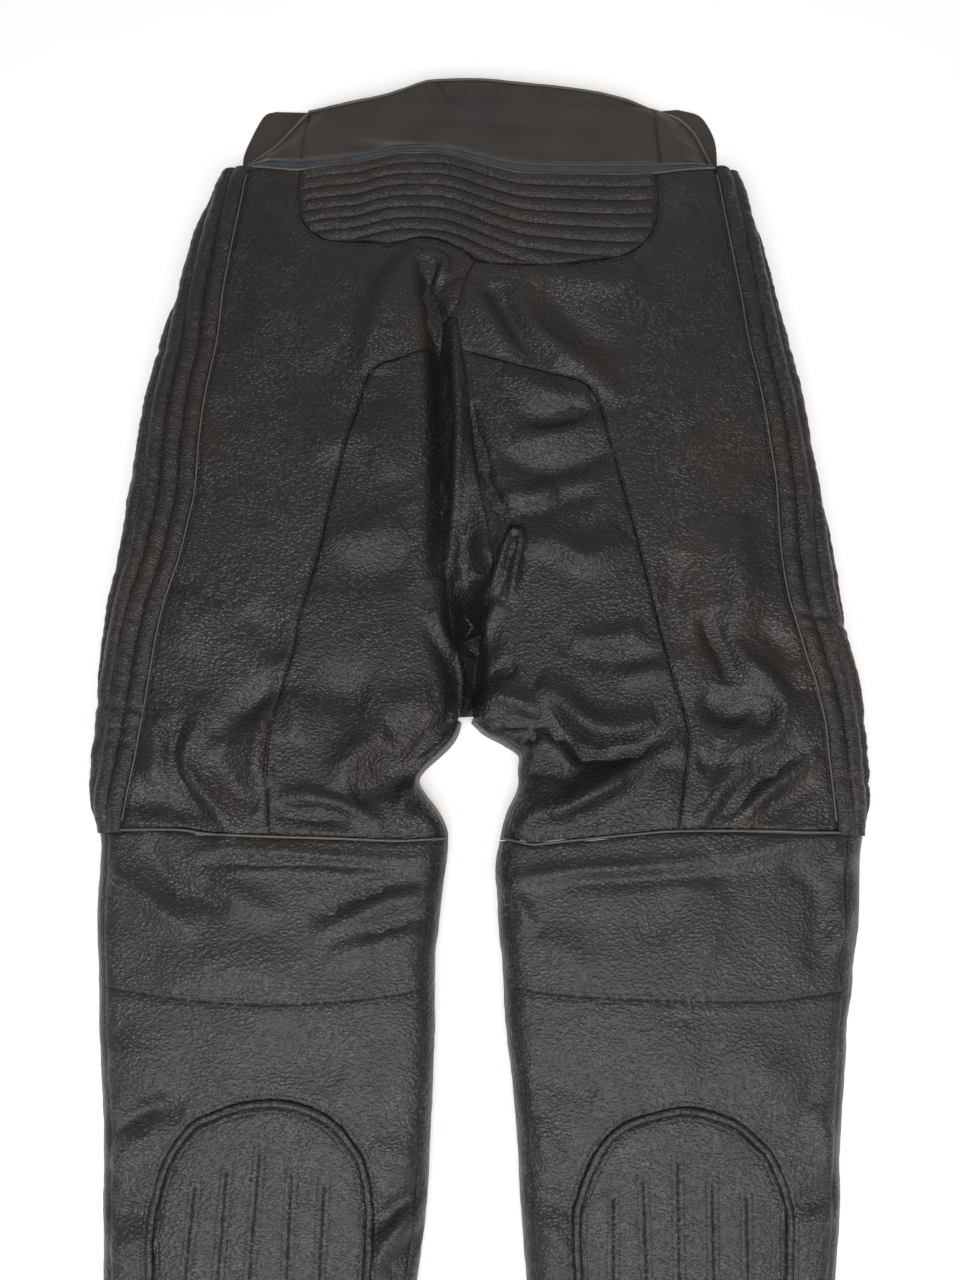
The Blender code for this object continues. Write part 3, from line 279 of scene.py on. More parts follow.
QUILT_LEFT = [(-190, 490), (-195, 478), (-198, 455), (-204, 410), (-209, 366), (-211, 331), (-219, 280),
              (-222, 246), (-224, 197), (-227, 180), (-233, 148), (-242, 116), (-248, 85), (-252, 54),
              (-256, 23), (-260, -8), (-265, -38), (-267, -60)]
QUILT_RIGHT = [(196, 488), (199, 473), (201, 455), (205, 419), (212, 366), (216, 331), (225, 280),
               (229, 246), (233, 197), (233, 180), (234, 148), (238, 116), (242, 100), (246, 85),
               (250, 69), (255, 54), (258, 38), (261, 23), (263, -8), (265, -38), (267, -62)]
ZIP_LOW = [(-198, 494), (-190, 490), (-166, 486.5), (-150, 485), (-125, 488.5), (-100, 491), (-83, 496),
           (-67, 499.5), (-50, 500), (-33, 499.5), (-17, 496), (0, 489.5), (17, 484), (33, 480), (58, 479),
           (100, 479), (133, 480), (149, 482), (166, 485), (183, 487), (196, 488), (201, 489)]
ZIP_HIGH = [(-197, 500), (-182, 499.5), (-166, 496.5), (-150, 495), (-125, 496), (-100, 500), (-83, 504),
            (-67, 507), (-42, 508), (-25, 506), (-8, 501.5), (8, 496.5), (25, 492), (42, 489.5), (66, 489),
            (100, 489), (133, 490), (166, 492), (183, 494), (198, 496)]
LUMBAR = [(-150, 485), (-151, 461), (-148, 441), (-143, 430), (-133, 420), (-120, 414.5), (-90, 413.5),
          (-69, 412), (-57, 415.5), (-45, 417), (-33, 415), (-16, 407), (-4, 397), (8, 394), (32, 392),
          (65, 393), (89, 396), (110, 400), (126, 407), (137, 418), (144, 432), (147, 452), (148, 470),
          (147, 481)]
CENTRE = [(-4, 397), (-10, 385), (-15, 368), (-18, 357), (-24, 347)]
GUSSET_TOP_LEFT = (-30, 345)
GUSSET_TOP_RIGHT = (-18, 345)
GUSSET_LEFT = [(-32, 322), (-34, 280), (-32, 238), (-31, 197), (-29, 156), (-24, 110), (-19, 66), (-16, 26)]
GUSSET_RIGHT = [(-14, 318), (-11, 297), (-7, 263), (-2, 222), (5, 180), (9, 150), (5, 110),
                (-3, 66), (-6, 26)]
SEAT_LEFT = [(-32, 322), (-48, 318), (-64, 311), (-80, 304.5), (-89, 296), (-93, 284), (-102, 251),
             (-110, 222), (-118, 186), (-126, 146), (-138, 102), (-142, 75), (-151, 44), (-157, 10),
             (-158.5, -9), (-159, -31), (-157, -65)]
SEAT_RIGHT = [(-14, 318), (0, 314), (16, 309), (40, 302), (64, 296), (79, 291), (89, 283), (96, 268),
              (102, 243), (110, 211), (119, 174), (128, 134), (139, 87), (144, 63), (154, 28), (157, 6),
              (155, -9), (152, -31), (148, -61)]
MID_LEFT = [(-267, -60), (-224, -60), (-202, -63), (-157, -65), (-119, -66), (-90, -67),
            (-60, -68), (-27, -66)]
MID_RIGHT = [(18, -66), (37, -70.5), (48, -70), (67, -68), (97, -65), (119, -63), (148, -61), (209, -61),
             (239, -62), (267, -62)]
KNEE_LEFT = [(-275, -173), (-241, -178), (-219, -181), (-160, -185), (-102, -183), (-58, -178), (-42, -175)]
KNEE_RIGHT = [(25, -174), (66, -179), (131, -182), (189, -183), (219, -182), (262, -177)]
ARCH_LEFT = [(-216, -576), (-224, -470), (-229, -344), (-226, -318), (-218, -292), (-203, -271.5),
             (-190, -265),
             (-171, -258.5), (-148, -256), (-129, -259), (-114, -265), (-103, -273), (-94, -284), (-87, -295),
             (-82, -318), (-81, -344), (-88, -470), (-96, -576)]
ARCH_RIGHT = [(82, -576), (76, -470), (71, -344), (74, -318), (85, -292), (96, -278), (110, -269),
              (132, -263),
              (146, -261), (164, -264), (182, -271), (195, -282), (204, -292), (214, -318), (215, -344),
              (208, -470), (200, -576)]
YOKE_TOP = [(-146, 551), (-126, 551), (-109, 554), (-84, 559), (-67, 565), (-51, 572), (-38, 575), (0, 576),
            (34, 572), (67, 568), (101, 563), (118, 559), (148, 552)]
YOKE_SIDE_LEFT = [(-146, 551), (-158, 537), (-173, 519), (-189, 506), (-197, 500)]
YOKE_SIDE_RIGHT = [(148, 552), (169, 544), (183, 530), (191, 513), (198, 496)]
YOKE_SEAM_LEFT = [(-149, 496), (-146, 551)]
YOKE_SEAM_RIGHT = [(150, 491), (148, 552)]
BAND = [(-200, 488), (-203, 509), (-196, 531), (-186, 551), (-176, 555), (-120, 553), (0, 546), (120, 553),
        (171, 557), (188, 552), (196, 542), (202, 526), (203, 506), (201, 488)]
FLY_SIDE = 20.0
FLY_BOTTOM = 310.0
FRONT_CENTRE = -10.0

# The arched panels' tucks, from their stitched tops to where the photograph ends
TUCKS_LEFT = [((-201, -304), (-206, -370)), ((-179, -294), (-183, -370)), ((-156, -282), (-161, -370)),
              ((-133, -296), (-135, -370)), ((-110, -303), (-112, -370))]
TUCKS_RIGHT = [((94, -312), (93, -370)), ((115, -300), (116, -370)), ((140, -287), (139, -370)),
               ((164, -302), (163, -370)), ((188, -313), (187, -370))]


def smooth_curve(keys, values):
    """A smooth function through the given points that never overshoots them."""
    order = np.argsort(keys)
    xs = np.asarray(keys, float)[order]
    ys = np.asarray(values, float)[order]
    steps = np.diff(xs)
    slopes = np.diff(ys) / steps
    tangents = np.concatenate(([slopes[0]], (slopes[1:] + slopes[:-1]) / 2, [slopes[-1]]))
    turning = slopes[1:] * slopes[:-1] <= 0
    tangents[1:-1][turning] = 0.0

    def value(at):
        """The function at one place or at many."""
        at = np.clip(np.asarray(at, float), xs[0], xs[-1])
        cell = np.clip(np.searchsorted(xs, at) - 1, 0, len(steps) - 1)
        width = steps[cell]
        t = (at - xs[cell]) / width
        start = (1 + 2 * t) * (1 - t) ** 2 * ys[cell] + t * (1 - t) ** 2 * width * tangents[cell]
        end = t * t * (3 - 2 * t) * ys[cell + 1] + t * t * (t - 1) * width * tangents[cell + 1]
        return start + end

    return value


def column(rows, name):
    """One column of a table as a smooth function of y."""
    return smooth_curve([row.y for row in rows], [getattr(row, name) for row in rows])


def by_y(points):
    """The x of a line as a smooth function of its y."""
    return smooth_curve([y for x, y in points], [x for x, y in points])


outer_left = column(OUTLINE, "outer_left")
outer_right = column(OUTLINE, "outer_right")
inner_left = column(INSEAM, "left")
inner_right = column(INSEAM, "right")
crown_height = column(HEIGHTS, "crown")
edge_height = column(HEIGHTS, "edge")
inner_height = column(HEIGHTS, "inner")
cleft_middle = smooth_curve([y for y, x in CLEFT], [x for y, x in CLEFT])
quilt_left = by_y(QUILT_LEFT)
quilt_right = by_y(QUILT_RIGHT)
yoke_left = by_y(YOKE_SIDE_LEFT)
yoke_right = by_y(YOKE_SIDE_RIGHT)
zip_line = smooth_curve([x for x, y in ZIP_LOW], [y for x, y in ZIP_LOW])


def ease(value, low, high):
    """0 below low, 1 above high, and smooth between."""
    t = np.clip((value - low) / (high - low), 0.0, 1.0)
    return t * t * (3 - 2 * t)


def roll(distance, radius):
    """The rise of a rolled edge, 0 at the outline and 1 a radius inside it."""
    t = 1 - np.clip(distance / radius, 0.0, 1.0)
    return np.sqrt(np.clip(1 - t * t, 0.0, 1.0))


def lattice(ix, iy, seed):
    """A repeatable number from 0 to 1 for each cell of a grid."""
    mixed = ix.astype(np.int64) * 374761393 + iy.astype(np.int64) * 668265263 + seed * 2147483647
    mixed = (mixed ^ (mixed >> 13)) * 1274126177
    return ((mixed ^ (mixed >> 16)) & 65535) / 65535.0


def noise(x, y, size, seed):
    """Smooth noise from -1 to 1 whose bumps are about a size across."""
    u, v = np.asarray(x, float) / size, np.asarray(y, float) / size
    iu, iv = np.floor(u), np.floor(v)
    fu, fv = u - iu, v - iv
    fu, fv = fu * fu * (3 - 2 * fu), fv * fv * (3 - 2 * fv)
    low = lattice(iu, iv, seed) * (1 - fu) + lattice(iu + 1, iv, seed) * fu
    high = lattice(iu, iv + 1, seed) * (1 - fu) + lattice(iu + 1, iv + 1, seed) * fu
    return 2 * (low * (1 - fv) + high * fv) - 1


def turned(x, y, angle, stretch):
    """Coordinates along and across a direction, with the first one compressed."""
    along = x * np.cos(angle) + y * np.sin(angle)
    across = y * np.cos(angle) - x * np.sin(angle)
    return along / stretch, across


def fine_relief(x, y):
    """The small unevenness of the leather: soft hollows and short wrinkles."""
    soft = noise(x, y, 26.0, 3) * 0.55 + noise(x, y, 13.0, 5) * 0.28
    along, across = turned(x, y, 0.35 + 0.5 * noise(x, y, 90.0, 7), 3.0)
    wrinkle = 1 - np.abs(noise(along, across, 7.0, 11))
    patch = ease(noise(x, y, 48.0, 13), -0.1, 0.7)
    return soft + wrinkle ** 4 * 0.55 * patch


# The corner and the size of the area that the tables of folds cover
FIELD_LOW = (-320.0, -590.0)
FIELD_SIZE = (640, 1190)


def add_folds(folds):
    """How far some folds lift or sink the leather: a table of heights, a millimetre apart.

    It is worked out once, because every piece asks for it many times.
    """
    table = np.zeros(FIELD_SIZE[::-1])
    for rise, width_left, width_right, *points in folds:
        line = rounded(points, 6.0)
        reach = 2.6 * max(width_left, width_right)
        first = np.maximum(np.floor(line.min(0) - reach - FIELD_LOW), 0).astype(int)
        last = np.minimum(np.ceil(line.max(0) + reach - FIELD_LOW), FIELD_SIZE).astype(int)
        px, py = np.meshgrid(*(np.arange(first[axis], last[axis]) + FIELD_LOW[axis] for axis in (0, 1)))
        best = np.full(px.shape, 1e9)
        along = np.zeros(px.shape)
        turn = np.zeros(px.shape)
        for index, ((ax, ay), (bx, by)) in enumerate(zip(line, line[1:])):
            run_x, run_y = bx - ax, by - ay
            t = np.clip(((px - ax) * run_x + (py - ay) * run_y) / (run_x ** 2 + run_y ** 2), 0, 1)
            off_x, off_y = px - ax - t * run_x, py - ay - t * run_y
            gap = off_x ** 2 + off_y ** 2
            nearer = gap < best
            best = np.where(nearer, gap, best)
            along = np.where(nearer, (index + t) / (len(line) - 1), along)
            side = run_x * off_y - run_y * off_x
            turn = np.where(nearer, side / (np.sqrt(gap) + 0.5) / np.hypot(run_x, run_y), turn)
        width = (width_left + width_right) / 2 + (width_left - width_right) / 2 * np.clip(turn, -1, 1)
        taper = np.sin(pi * np.clip(along, 0, 1)) ** 0.55
        table[first[1]:last[1], first[0]:last[0]] += rise * taper * np.exp(-best / width ** 2)
    return table


def look_up(table, x, y):
    """The table's value at each point, taken smoothly from the four round it."""
    u = np.clip(x - FIELD_LOW[0], 0, FIELD_SIZE[0] - 1.001)
    v = np.clip(y - FIELD_LOW[1], 0, FIELD_SIZE[1] - 1.001)
    iu, iv = u.astype(int), v.astype(int)
    fu, fv = u - iu, v - iv
    low = table[iv, iu] * (1 - fu) + table[iv, iu + 1] * fu
    high = table[iv + 1, iu] * (1 - fu) + table[iv + 1, iu + 1] * fu
    return low * (1 - fv) + high * fv


def back_height(x, y):
    """Height of the outside of the back above the surface that the garment lies on."""
    x, y = np.asarray(x, float), np.asarray(y, float)
    left, right = outer_left(y), outer_right(y)
    middle = cleft_middle(y)
    near_left = np.where(y > CROTCH, middle, inner_left(y))
    near_right = np.where(y > CROTCH, middle, inner_right(y))
    on_left = x < (near_left + near_right) / 2
    outside = np.maximum(np.where(on_left, x - left, right - x), 0.0)
    inside = np.maximum(np.where(on_left, near_left - x, x - near_right), 0.0)
    crown, side, inner = crown_height(y), edge_height(y), inner_height(y)
    leg_width = np.maximum(np.where(on_left, near_left - left, right - near_right), 1.0)
    leg_across = (outside / leg_width - 0.5) * 2
    body_across = (x - (left + right) / 2) / ((right - left) / 2)
    valley = ease(y, CROTCH, CROTCH + 60.0)
    cleft_roll = valley * (1 - np.exp(-(inside / CLEFT_SPREAD) ** 2))
    inner_roll = (1 - valley) * roll(inside, EDGE_ROLL) + cleft_roll
    outer_share = outside / np.maximum(outside + inside, 1e-6)
    base = side + (inner - side) * outer_share ** 2
    leg = base + (crown - base) * (ROLL_SHARE * roll(outside, EDGE_ROLL) * inner_roll
                                   + (1 - ROLL_SHARE) * (1 - leg_across ** 2))
    body = side + (crown - side) * (ROLL_SHARE * roll(outside, EDGE_ROLL)
                                    + (1 - ROLL_SHARE) * (1 - np.clip(body_across, -1, 1) ** 2))
    height = leg + (body - leg) * ease(y, 70.0, 250.0)
    fade = ease(outside, 0.0, FOLD_FADE)
    fade = fade * np.where(y > CROTCH, 1.0, ease(inside, 0.0, 3.0))
    height = height + look_up(back_folds, x, y) * fade
    return DEEPEST + SETTLE * np.logaddexp(0.0, (height - DEEPEST) / SETTLE)


def yoke_height(x, y):
    """Height of the yoke and the zip tape, which slope down to the front waistband at the sides."""
    x, y = np.asarray(x, float), np.asarray(y, float)
    inside = np.maximum(np.minimum(x - yoke_left(y), yoke_right(y) - x), 0.0)
    across = np.clip(inside / 90.0, 0, 1)
    share = 0.4 * ease(inside, 0.0, 26.0) + 0.6 * (1 - (1 - across) ** 2)
    return YOKE_LOW + (crown_height(y) - YOKE_LOW) * share


def top_height(x, y):
    """Height of everything that lies uppermost."""
    x, y = np.asarray(x, float), np.asarray(y, float)
    share = ease(y, 486.0, 502.0)
    waist = back_height(x, y) * (1 - share) + yoke_height(x, y) * share
    return np.where(y > 478.0, waist, back_height(x, y))


def unit(vectors):
    """The vectors at length one."""
    return vectors / np.linalg.norm(vectors, axis=1)[:, None]


def heading(line):
    """The direction in which a line runs at each of its points."""
    return unit(np.gradient(line, axis=0))


def surface(points, height=top_height):
    """Points on the outside of the back and the directions that stand out from it."""
    points = np.asarray(points, float)
    x, y = points[:, 0], points[:, 1]
    reach = SLOPE_REACH
    slope_x = (height(x + reach, y) - height(x - reach, y)) / (2 * reach)
    slope_y = (height(x, y + reach) - height(x, y - reach)) / (2 * reach)
    z = height(x, y)
    return np.stack([x, y, z], 1), unit(np.stack([-slope_x, -slope_y, np.ones_like(z)], 1))


def resample(line, step=None, count=None):
    """Equally spaced points along a polyline."""
    line = np.asarray(line, float)
    lengths = np.concatenate(([0], np.cumsum(np.linalg.norm(np.diff(line, axis=0), axis=1))))
    if count is None:
        count = max(1, round(lengths[-1] / step))
    marks = np.linspace(0, lengths[-1], count + 1)
    return np.stack([np.interp(marks, lengths, line[:, axis]) for axis in range(line.shape[1])], 1)


def rounded(points, step):
    """A smooth line through the given points, sampled at about the given step."""
    points = np.asarray(points, float)
    if len(points) == 2:
        return resample(points, step)
    padded = np.vstack([2 * points[0] - points[1], points, 2 * points[-1] - points[-2]])
    fine = []
    for a, b, c, d in zip(padded, padded[1:], padded[2:], padded[3:]):
        t = np.linspace(0, 1, 16, endpoint=False)[:, None]
        fine.append(0.5 * (2 * b + (c - a) * t + (2 * a - 5 * b + 4 * c - d) * t ** 2
                           + (3 * b - a - 3 * c + d) * t ** 3))
    fine.append(points[-1:])
    return resample(np.vstack(fine), step)


back_folds = add_folds(FOLDS)
front_folds = add_folds(FRONT_FOLDS)
yoke_folds = add_folds(YOKE_FOLDS)


def offset(line, distance):
    """The line moved to its left by a distance."""
    line = np.asarray(line, float)
    run = heading(line)
    return line + distance * np.stack([-run[:, 1], run[:, 0]], 1)


def split(line, point):
    """The two stretches of a line on either side of the point of it nearest to the given one."""
    line = np.asarray(line, float)
    at = int(np.argmin(np.linalg.norm(line - np.asarray(point, float), axis=1)))
    return line[:at + 1], line[at:]


def join(*lines, closest=0.8):
    """One closed counterclockwise loop from lines laid end to end, without repeated points."""
    loop = []
    for line in lines:
        for point in np.asarray(line, float):
            if not loop or np.linalg.norm(point - loop[-1]) > closest:
                loop.append(point)
    if np.linalg.norm(loop[0] - loop[-1]) < closest:
        loop.pop()
    loop = np.array(loop)
    return loop if loop_area(loop) > 0 else loop[::-1]


def loop_area(loop):
    """The area inside a counterclockwise loop."""
    following = np.roll(loop, -1, axis=0)
    return float(np.sum(loop[:, 0] * following[:, 1] - following[:, 0] * loop[:, 1]) / 2)


def inset(loop, distance):
    """A counterclockwise loop drawn in by a distance."""
    before = unit(loop - np.roll(loop, 1, axis=0))
    after = unit(np.roll(loop, -1, axis=0) - loop)
    left_before = np.stack([-before[:, 1], before[:, 0]], 1)
    left_after = np.stack([-after[:, 1], after[:, 0]], 1)
    mean = left_before + left_after
    scale = np.maximum((mean * left_before).sum(1), 0.5)
    return loop + distance * mean / scale[:, None]


def inside_loop(points, loop):
    """Which points lie inside the loop."""
    x, y = points[:, 0], points[:, 1]
    within = np.zeros(len(points), bool)
    for a, b in zip(loop, np.roll(loop, -1, axis=0)):
        band = (a[1] > y) != (b[1] > y)
        at = (b[0] - a[0]) * (y[band] - a[1]) / (b[1] - a[1]) + a[0]
        within[band] ^= x[band] < at
    return within


def distances(points, lines):
    """The distance from each point to the nearest of some lines."""
    dense = np.vstack([resample(line, 0.5) for line in lines])
    tree = KDTree(len(dense))
    for index, point in enumerate(dense.tolist()):
        tree.insert((point[0], point[1], 0.0), index)
    tree.balance()
    return np.array([tree.find((px, py, 0.0))[2] for px, py in points.tolist()])


def staggered(loop, step):
    """Staggered points over a loop's box."""
    low, high = loop.min(0), loop.max(0)
    ys = np.arange(low[1], high[1], step * STAGGER)
    xs = np.arange(low[0], high[0], step)
    grid_x, grid_y = np.meshgrid(xs, ys)
    grid_x[1::2] += step / 2
    return np.stack([grid_x.ravel(), grid_y.ravel()], 1)


def triangulate(loop, inner_points):
    """Triangles that fill the loop, using the inner points too."""
    points = [Vector(point) for point in np.vstack([loop, inner_points]).tolist()]
    result = delaunay_2d_cdt(points, [], [list(range(len(loop)))], 1, 1e-6)
    flat = np.array([(point.x, point.y) for point in result[0]])
    return flat, [tuple(face) for face in result[2]]


def make_object(name, vertices, faces, material, sharp=SHARP_ANGLE):
    """A named mesh object in metres from vertices in millimetres."""
    mesh = bpy.data.meshes.new(name)
    mesh.from_pydata((np.asarray(vertices, float) * MM).tolist(), [], faces)
    mesh.validate()
    mesh.shade_smooth()
    if sharp:
        mesh.set_sharp_from_angle(angle=sharp)
    thing = bpy.data.objects.new(name, mesh)
    mesh.materials.append(material)
    bpy.context.scene.collection.objects.link(thing)
    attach(thing, "root")
    return thing


def stand_for(thing, slot, *nodes):
    """Hides the CAD nodes that a piece replaces; its slot is not used."""
    if nodes:
        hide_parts(*nodes)
    return thing


def closed(name, loop, upper, lower, upper_faces, lower_faces, material):
    """A closed panel from its two sides, whose first points both follow the loop that it was cut to."""
    rim, start = len(loop), len(upper)
    walls = [(index, start + index, start + (index + 1) % rim, (index + 1) % rim) for index in range(rim)]
    back = [tuple(start + index for index in reversed(face)) for face in lower_faces]
    thing = make_object(name, np.vstack([upper, lower]), upper_faces + back + walls, material)
    thing["cut"] = (float(np.ptp(loop[:, 0])), float(np.ptp(loop[:, 1])), loop_area(loop))
    return thing


def panel(name, loop, material, step=SKIN_STEP, raised=None, rows=None, creases=(), calm=1.0,
          dip=SEAM_DIP, flush=()):
    """A cut piece that lies on the back: a thin shell whose edges turn down into its seams.

    raised gives how far the outer points stand above the plain skin, rows replaces the
    staggered points, creases are lines with a half-width and a depth, such as rows of stitching,
    and flush names lines where the leather runs on without a seam's dip.
    """
    loop = inset(loop, SEAM_GAP / 2)
    filling = staggered(loop, step) if rows is None else rows
    filling = filling[inside_loop(filling, loop)]
    edge_lines = [np.vstack([loop, loop[:1]])]
    gap = distances(filling, edge_lines)
    keep = gap > EDGE_CLEAR
    if creases:
        crease_lines = [line for line, width, depth in creases]
        crease_gap = distances(filling, crease_lines)
        keep &= crease_gap > CREASE_CLEAR
    filling = filling[keep]
    extra = [inset(loop, ring) for ring in EDGE_RINGS]
    for line, width, depth in creases:
        fine = resample(line, 2.0)
        for shift in CREASE_SHIFTS:
            extra.append(offset(fine, shift))
    extra = np.vstack(extra)
    extra = extra[inside_loop(extra, loop)]
    extra = extra[distances(extra, edge_lines) > 0.45]
    flat, faces = triangulate(loop, np.vstack([filling, extra]))
    x, y = flat[:, 0], flat[:, 1]
    z = top_height(x, y) + fine_relief(x, y) * calm
    gap = distances(flat, edge_lines)
    pucker = noise(x, y, 5.0, 17) * 0.35 * np.exp(-(gap / 6.0) ** 2) * calm
    depth = dip * np.exp(-(gap / SEAM_SPREAD) ** 2)
    if len(flush):
        depth = depth * ease(distances(flat, flush), 2.0, 6.0)
    z = z - depth + pucker * ease(gap, 0.0, 2.0)
    for line, width, depth in creases:
        near = distances(flat, [line])
        z = z - depth * np.exp(-(near / width) ** 2)
    if raised is not None:
        z = z + raised(x, y)
    rim = len(loop)
    lining = staggered(loop, LINING_STEP)
    lining = lining[inside_loop(lining, loop)]
    lining = lining[distances(lining, edge_lines) > LINING_STEP * 0.5]
    inner_flat, inner_faces = triangulate(loop, lining)
    points, normals = surface(inner_flat)
    inner = points - normals * LEATHER
    inner[:rim, 2] = np.minimum(inner[:rim, 2], z[:rim] - 0.35)
    return closed(name, loop, np.column_stack([flat, z]), inner, faces, inner_faces, material)


def resting_lift(x, y):
    """How far the front's leather lies off the surface: its creases and a slight unevenness."""
    return look_up(front_folds, x, y) + 0.4 + 0.4 * noise(x, y, 22.0, 23)


def flat_panel(name, loop, material, step=6.0):
    """A cut piece of the front, flat on the surface under the garment but for its creases."""
    loop = inset(loop, SEAM_GAP / 2)
    filling = staggered(loop, step)
    filling = filling[inside_loop(filling, loop)]
    edge_lines = [np.vstack([loop, loop[:1]])]
    filling = filling[distances(filling, edge_lines) > step * 0.5]
    flat, faces = triangulate(loop, filling)
    x, y = flat[:, 0], flat[:, 1]
    fade = ease(distances(flat, edge_lines), 0.0, 14.0)
    lift = resting_lift(x, y) * fade
    lower = np.column_stack([flat, lift])
    upper = np.column_stack([flat, lift + LEATHER])
    return closed(name, loop, upper, lower, faces, faces, material)


def grid_faces(rows, columns, start=0, closed=False):
    """Quads over a grid of points, in rows; closed joins its last column to its first."""
    faces = []
    for row in range(rows - 1):
        for across in range(columns if closed else columns - 1):
            following = (across + 1) % columns
            faces.append((start + row * columns + across, start + (row + 1) * columns + across,
                          start + (row + 1) * columns + following, start + row * columns + following))
    return faces


def shell(name, outer, inner, material):
    """A closed wall from two grids of points, rows by columns, one on each side of it."""
    rows, columns = outer.shape[:2]
    grid = np.arange(rows * columns).reshape(rows, columns)
    count = rows * columns
    faces = grid_faces(rows, columns)
    faces += [tuple(count + index for index in reversed(face)) for face in faces]
    rim = list(grid[:, 0]) + list(grid[-1, 1:]) + list(grid[-2::-1, -1]) + list(grid[0, -2:0:-1])
    for a, b in zip(rim, rim[1:] + rim[:1]):
        faces.append((int(b), int(a), int(count + a), int(count + b)))
    vertices = np.vstack([outer.reshape(-1, 3), inner.reshape(-1, 3)])
    thing = make_object(name, vertices, faces, material)
    turn_outwards(thing)
    long_side = float(np.linalg.norm(np.diff(outer[:, columns // 2], axis=0), axis=1).sum())
    short_side = float(np.linalg.norm(np.diff(outer[rows // 2], axis=0), axis=1).sum())
    thing["cut"] = (short_side, long_side, short_side * long_side)
    return thing


def turn_outwards(thing):
    """Turns a mesh's faces outwards if they face in."""
    mesh = thing.data
    mesh.calc_loop_triangles()
    points = np.empty(len(mesh.vertices) * 3)
    mesh.vertices.foreach_get("co", points)
    corners = np.empty(len(mesh.loop_triangles) * 3, np.int32)
    mesh.loop_triangles.foreach_get("vertices", corners)
    a, b, c = points.reshape(-1, 3)[corners.reshape(-1, 3)].transpose(1, 0, 2)
    if np.einsum("ij,ij->i", a, np.cross(b, c)).sum() < 0:
        mesh.flip_normals()


def cord_along(name, points, normals, radius, material, sides=8):
    """A solid rounded edge that runs along points, such as piping or a rolled edge."""
    points = np.asarray(points, float)
    across = unit(np.cross(heading(points), normals))
    turns = np.linspace(0, 2 * pi, sides, endpoint=False)
    size = np.full(len(points), radius) * (1 + 0.12 * noise(np.arange(len(points)), points[:, 1], 3.0, 29))
    size[[0, -1]] *= 0.6
    ring = (points[:, None] + across[:, None] * (np.cos(turns)[None, :, None] * size[:, None, None])
            + normals[:, None] * (np.sin(turns)[None, :, None] * size[:, None, None]))
    rows = len(points)
    faces = grid_faces(rows, sides, closed=True)
    faces.append(tuple(reversed(range(sides))))
    faces.append(tuple(range((rows - 1) * sides, rows * sides)))
    thing = make_object(name, ring.reshape(-1, 3), faces, material)
    turn_outwards(thing)
    return thing


def add_bead(vertices, faces, centres, sizes, sideways, normal, sides):
    """Adds a closed bead: rings of the given sizes round its centres, joined and capped."""
    start = len(vertices)
    for centre, size in zip(centres, sizes):
        for turn in np.linspace(0, 2 * pi, sides, endpoint=False):
            vertices.append(centre + size * (sideways * cos(turn) + normal * sin(turn)))
    last = start + (len(centres) - 1) * sides
    faces += grid_faces(len(centres), sides, start, closed=True)
    faces.append(tuple(start + index for index in reversed(range(sides))))
    faces.append(tuple(last + index for index in range(sides)))


STITCH_SIDES = 5
STITCH_DIVE = 1.6
STITCH_RINGS = ((-0.5, 0.25), (-0.36, 0.85), (0.0, 1.0), (0.36, 0.85), (0.5, 0.25))


def stitches(name, lines, material, slot, pitch=3.4, length=2.5, radius=0.34, sink=0.25):
    """Rows of stitches, each a short thread that dives into the leather at both ends."""
    vertices, faces = [], []
    for line in lines:
        centres = resample(line, pitch)
        centres = (centres[1:] + centres[:-1]) / 2
        if len(centres) < 2:
            continue
        points, normals = surface(centres)
        run = heading(points)
        across = np.cross(run, normals)
        points[:, 2] += fine_relief(points[:, 0], points[:, 1]) * 0.6
        for point, forward, sideways, normal in zip(points, run, across, normals):
            centres = [point + forward * along * length + normal * (share - 1 - sink) * radius * STITCH_DIVE
                       for along, share in STITCH_RINGS]
            sizes = [radius * share for along, share in STITCH_RINGS]
            add_bead(vertices, faces, centres, sizes, sideways, normal, STITCH_SIDES)
    thing = make_object(name, np.array(vertices), faces, material, sharp=None)
    turn_outwards(thing)
    return stand_for(thing, slot)


def new_material(name):
    """A material with nodes, its tree, its shader and the place on the object."""
    material = bpy.data.materials.new(name)
    material.use_nodes = True
    tree = material.node_tree
    place = tree.nodes.new("ShaderNodeTexCoord").outputs["Object"]
    return material, tree, tree.nodes["Principled BSDF"], place


def node(tree, kind, links=(), **settings):
    """Adds a node; settings name its properties or its inputs, links join sockets to its inputs."""
    made = tree.nodes.new(kind)
    for key, value in settings.items():
        if hasattr(made, key):
            setattr(made, key, value)
        else:
            made.inputs[key.replace("_", " ")].default_value = value
    for target, source in dict(links).items():
        tree.links.new(source, made.inputs[target])
    return made


def ramp(tree, source, stops):
    """A colour ramp over a value, from stops of place and colour."""
    made = tree.nodes.new("ShaderNodeValToRGB")
    tree.links.new(source, made.inputs["Fac"])
    elements = made.color_ramp.elements
    while len(elements) < len(stops):
        elements.new(0.5)
    for element, (place, colour) in zip(elements, stops):
        element.position = place
        element.color = (*colour, 1.0)
    return made.outputs["Color"]


def clouds(tree, place, scale, detail=2.0, output="Fac"):
    """Soft noise over a place."""
    return node(tree, "ShaderNodeTexNoise", {"Vector": place}, Scale=scale, Detail=detail).outputs[output]


def relief(tree, shader, height, depth, strength):
    """Bump from a height, with a depth in metres."""
    bump = node(tree, "ShaderNodeBump", {"Height": height}, Strength=strength, Distance=depth)
    tree.links.new(bump.outputs[0], shader.inputs["Normal"])


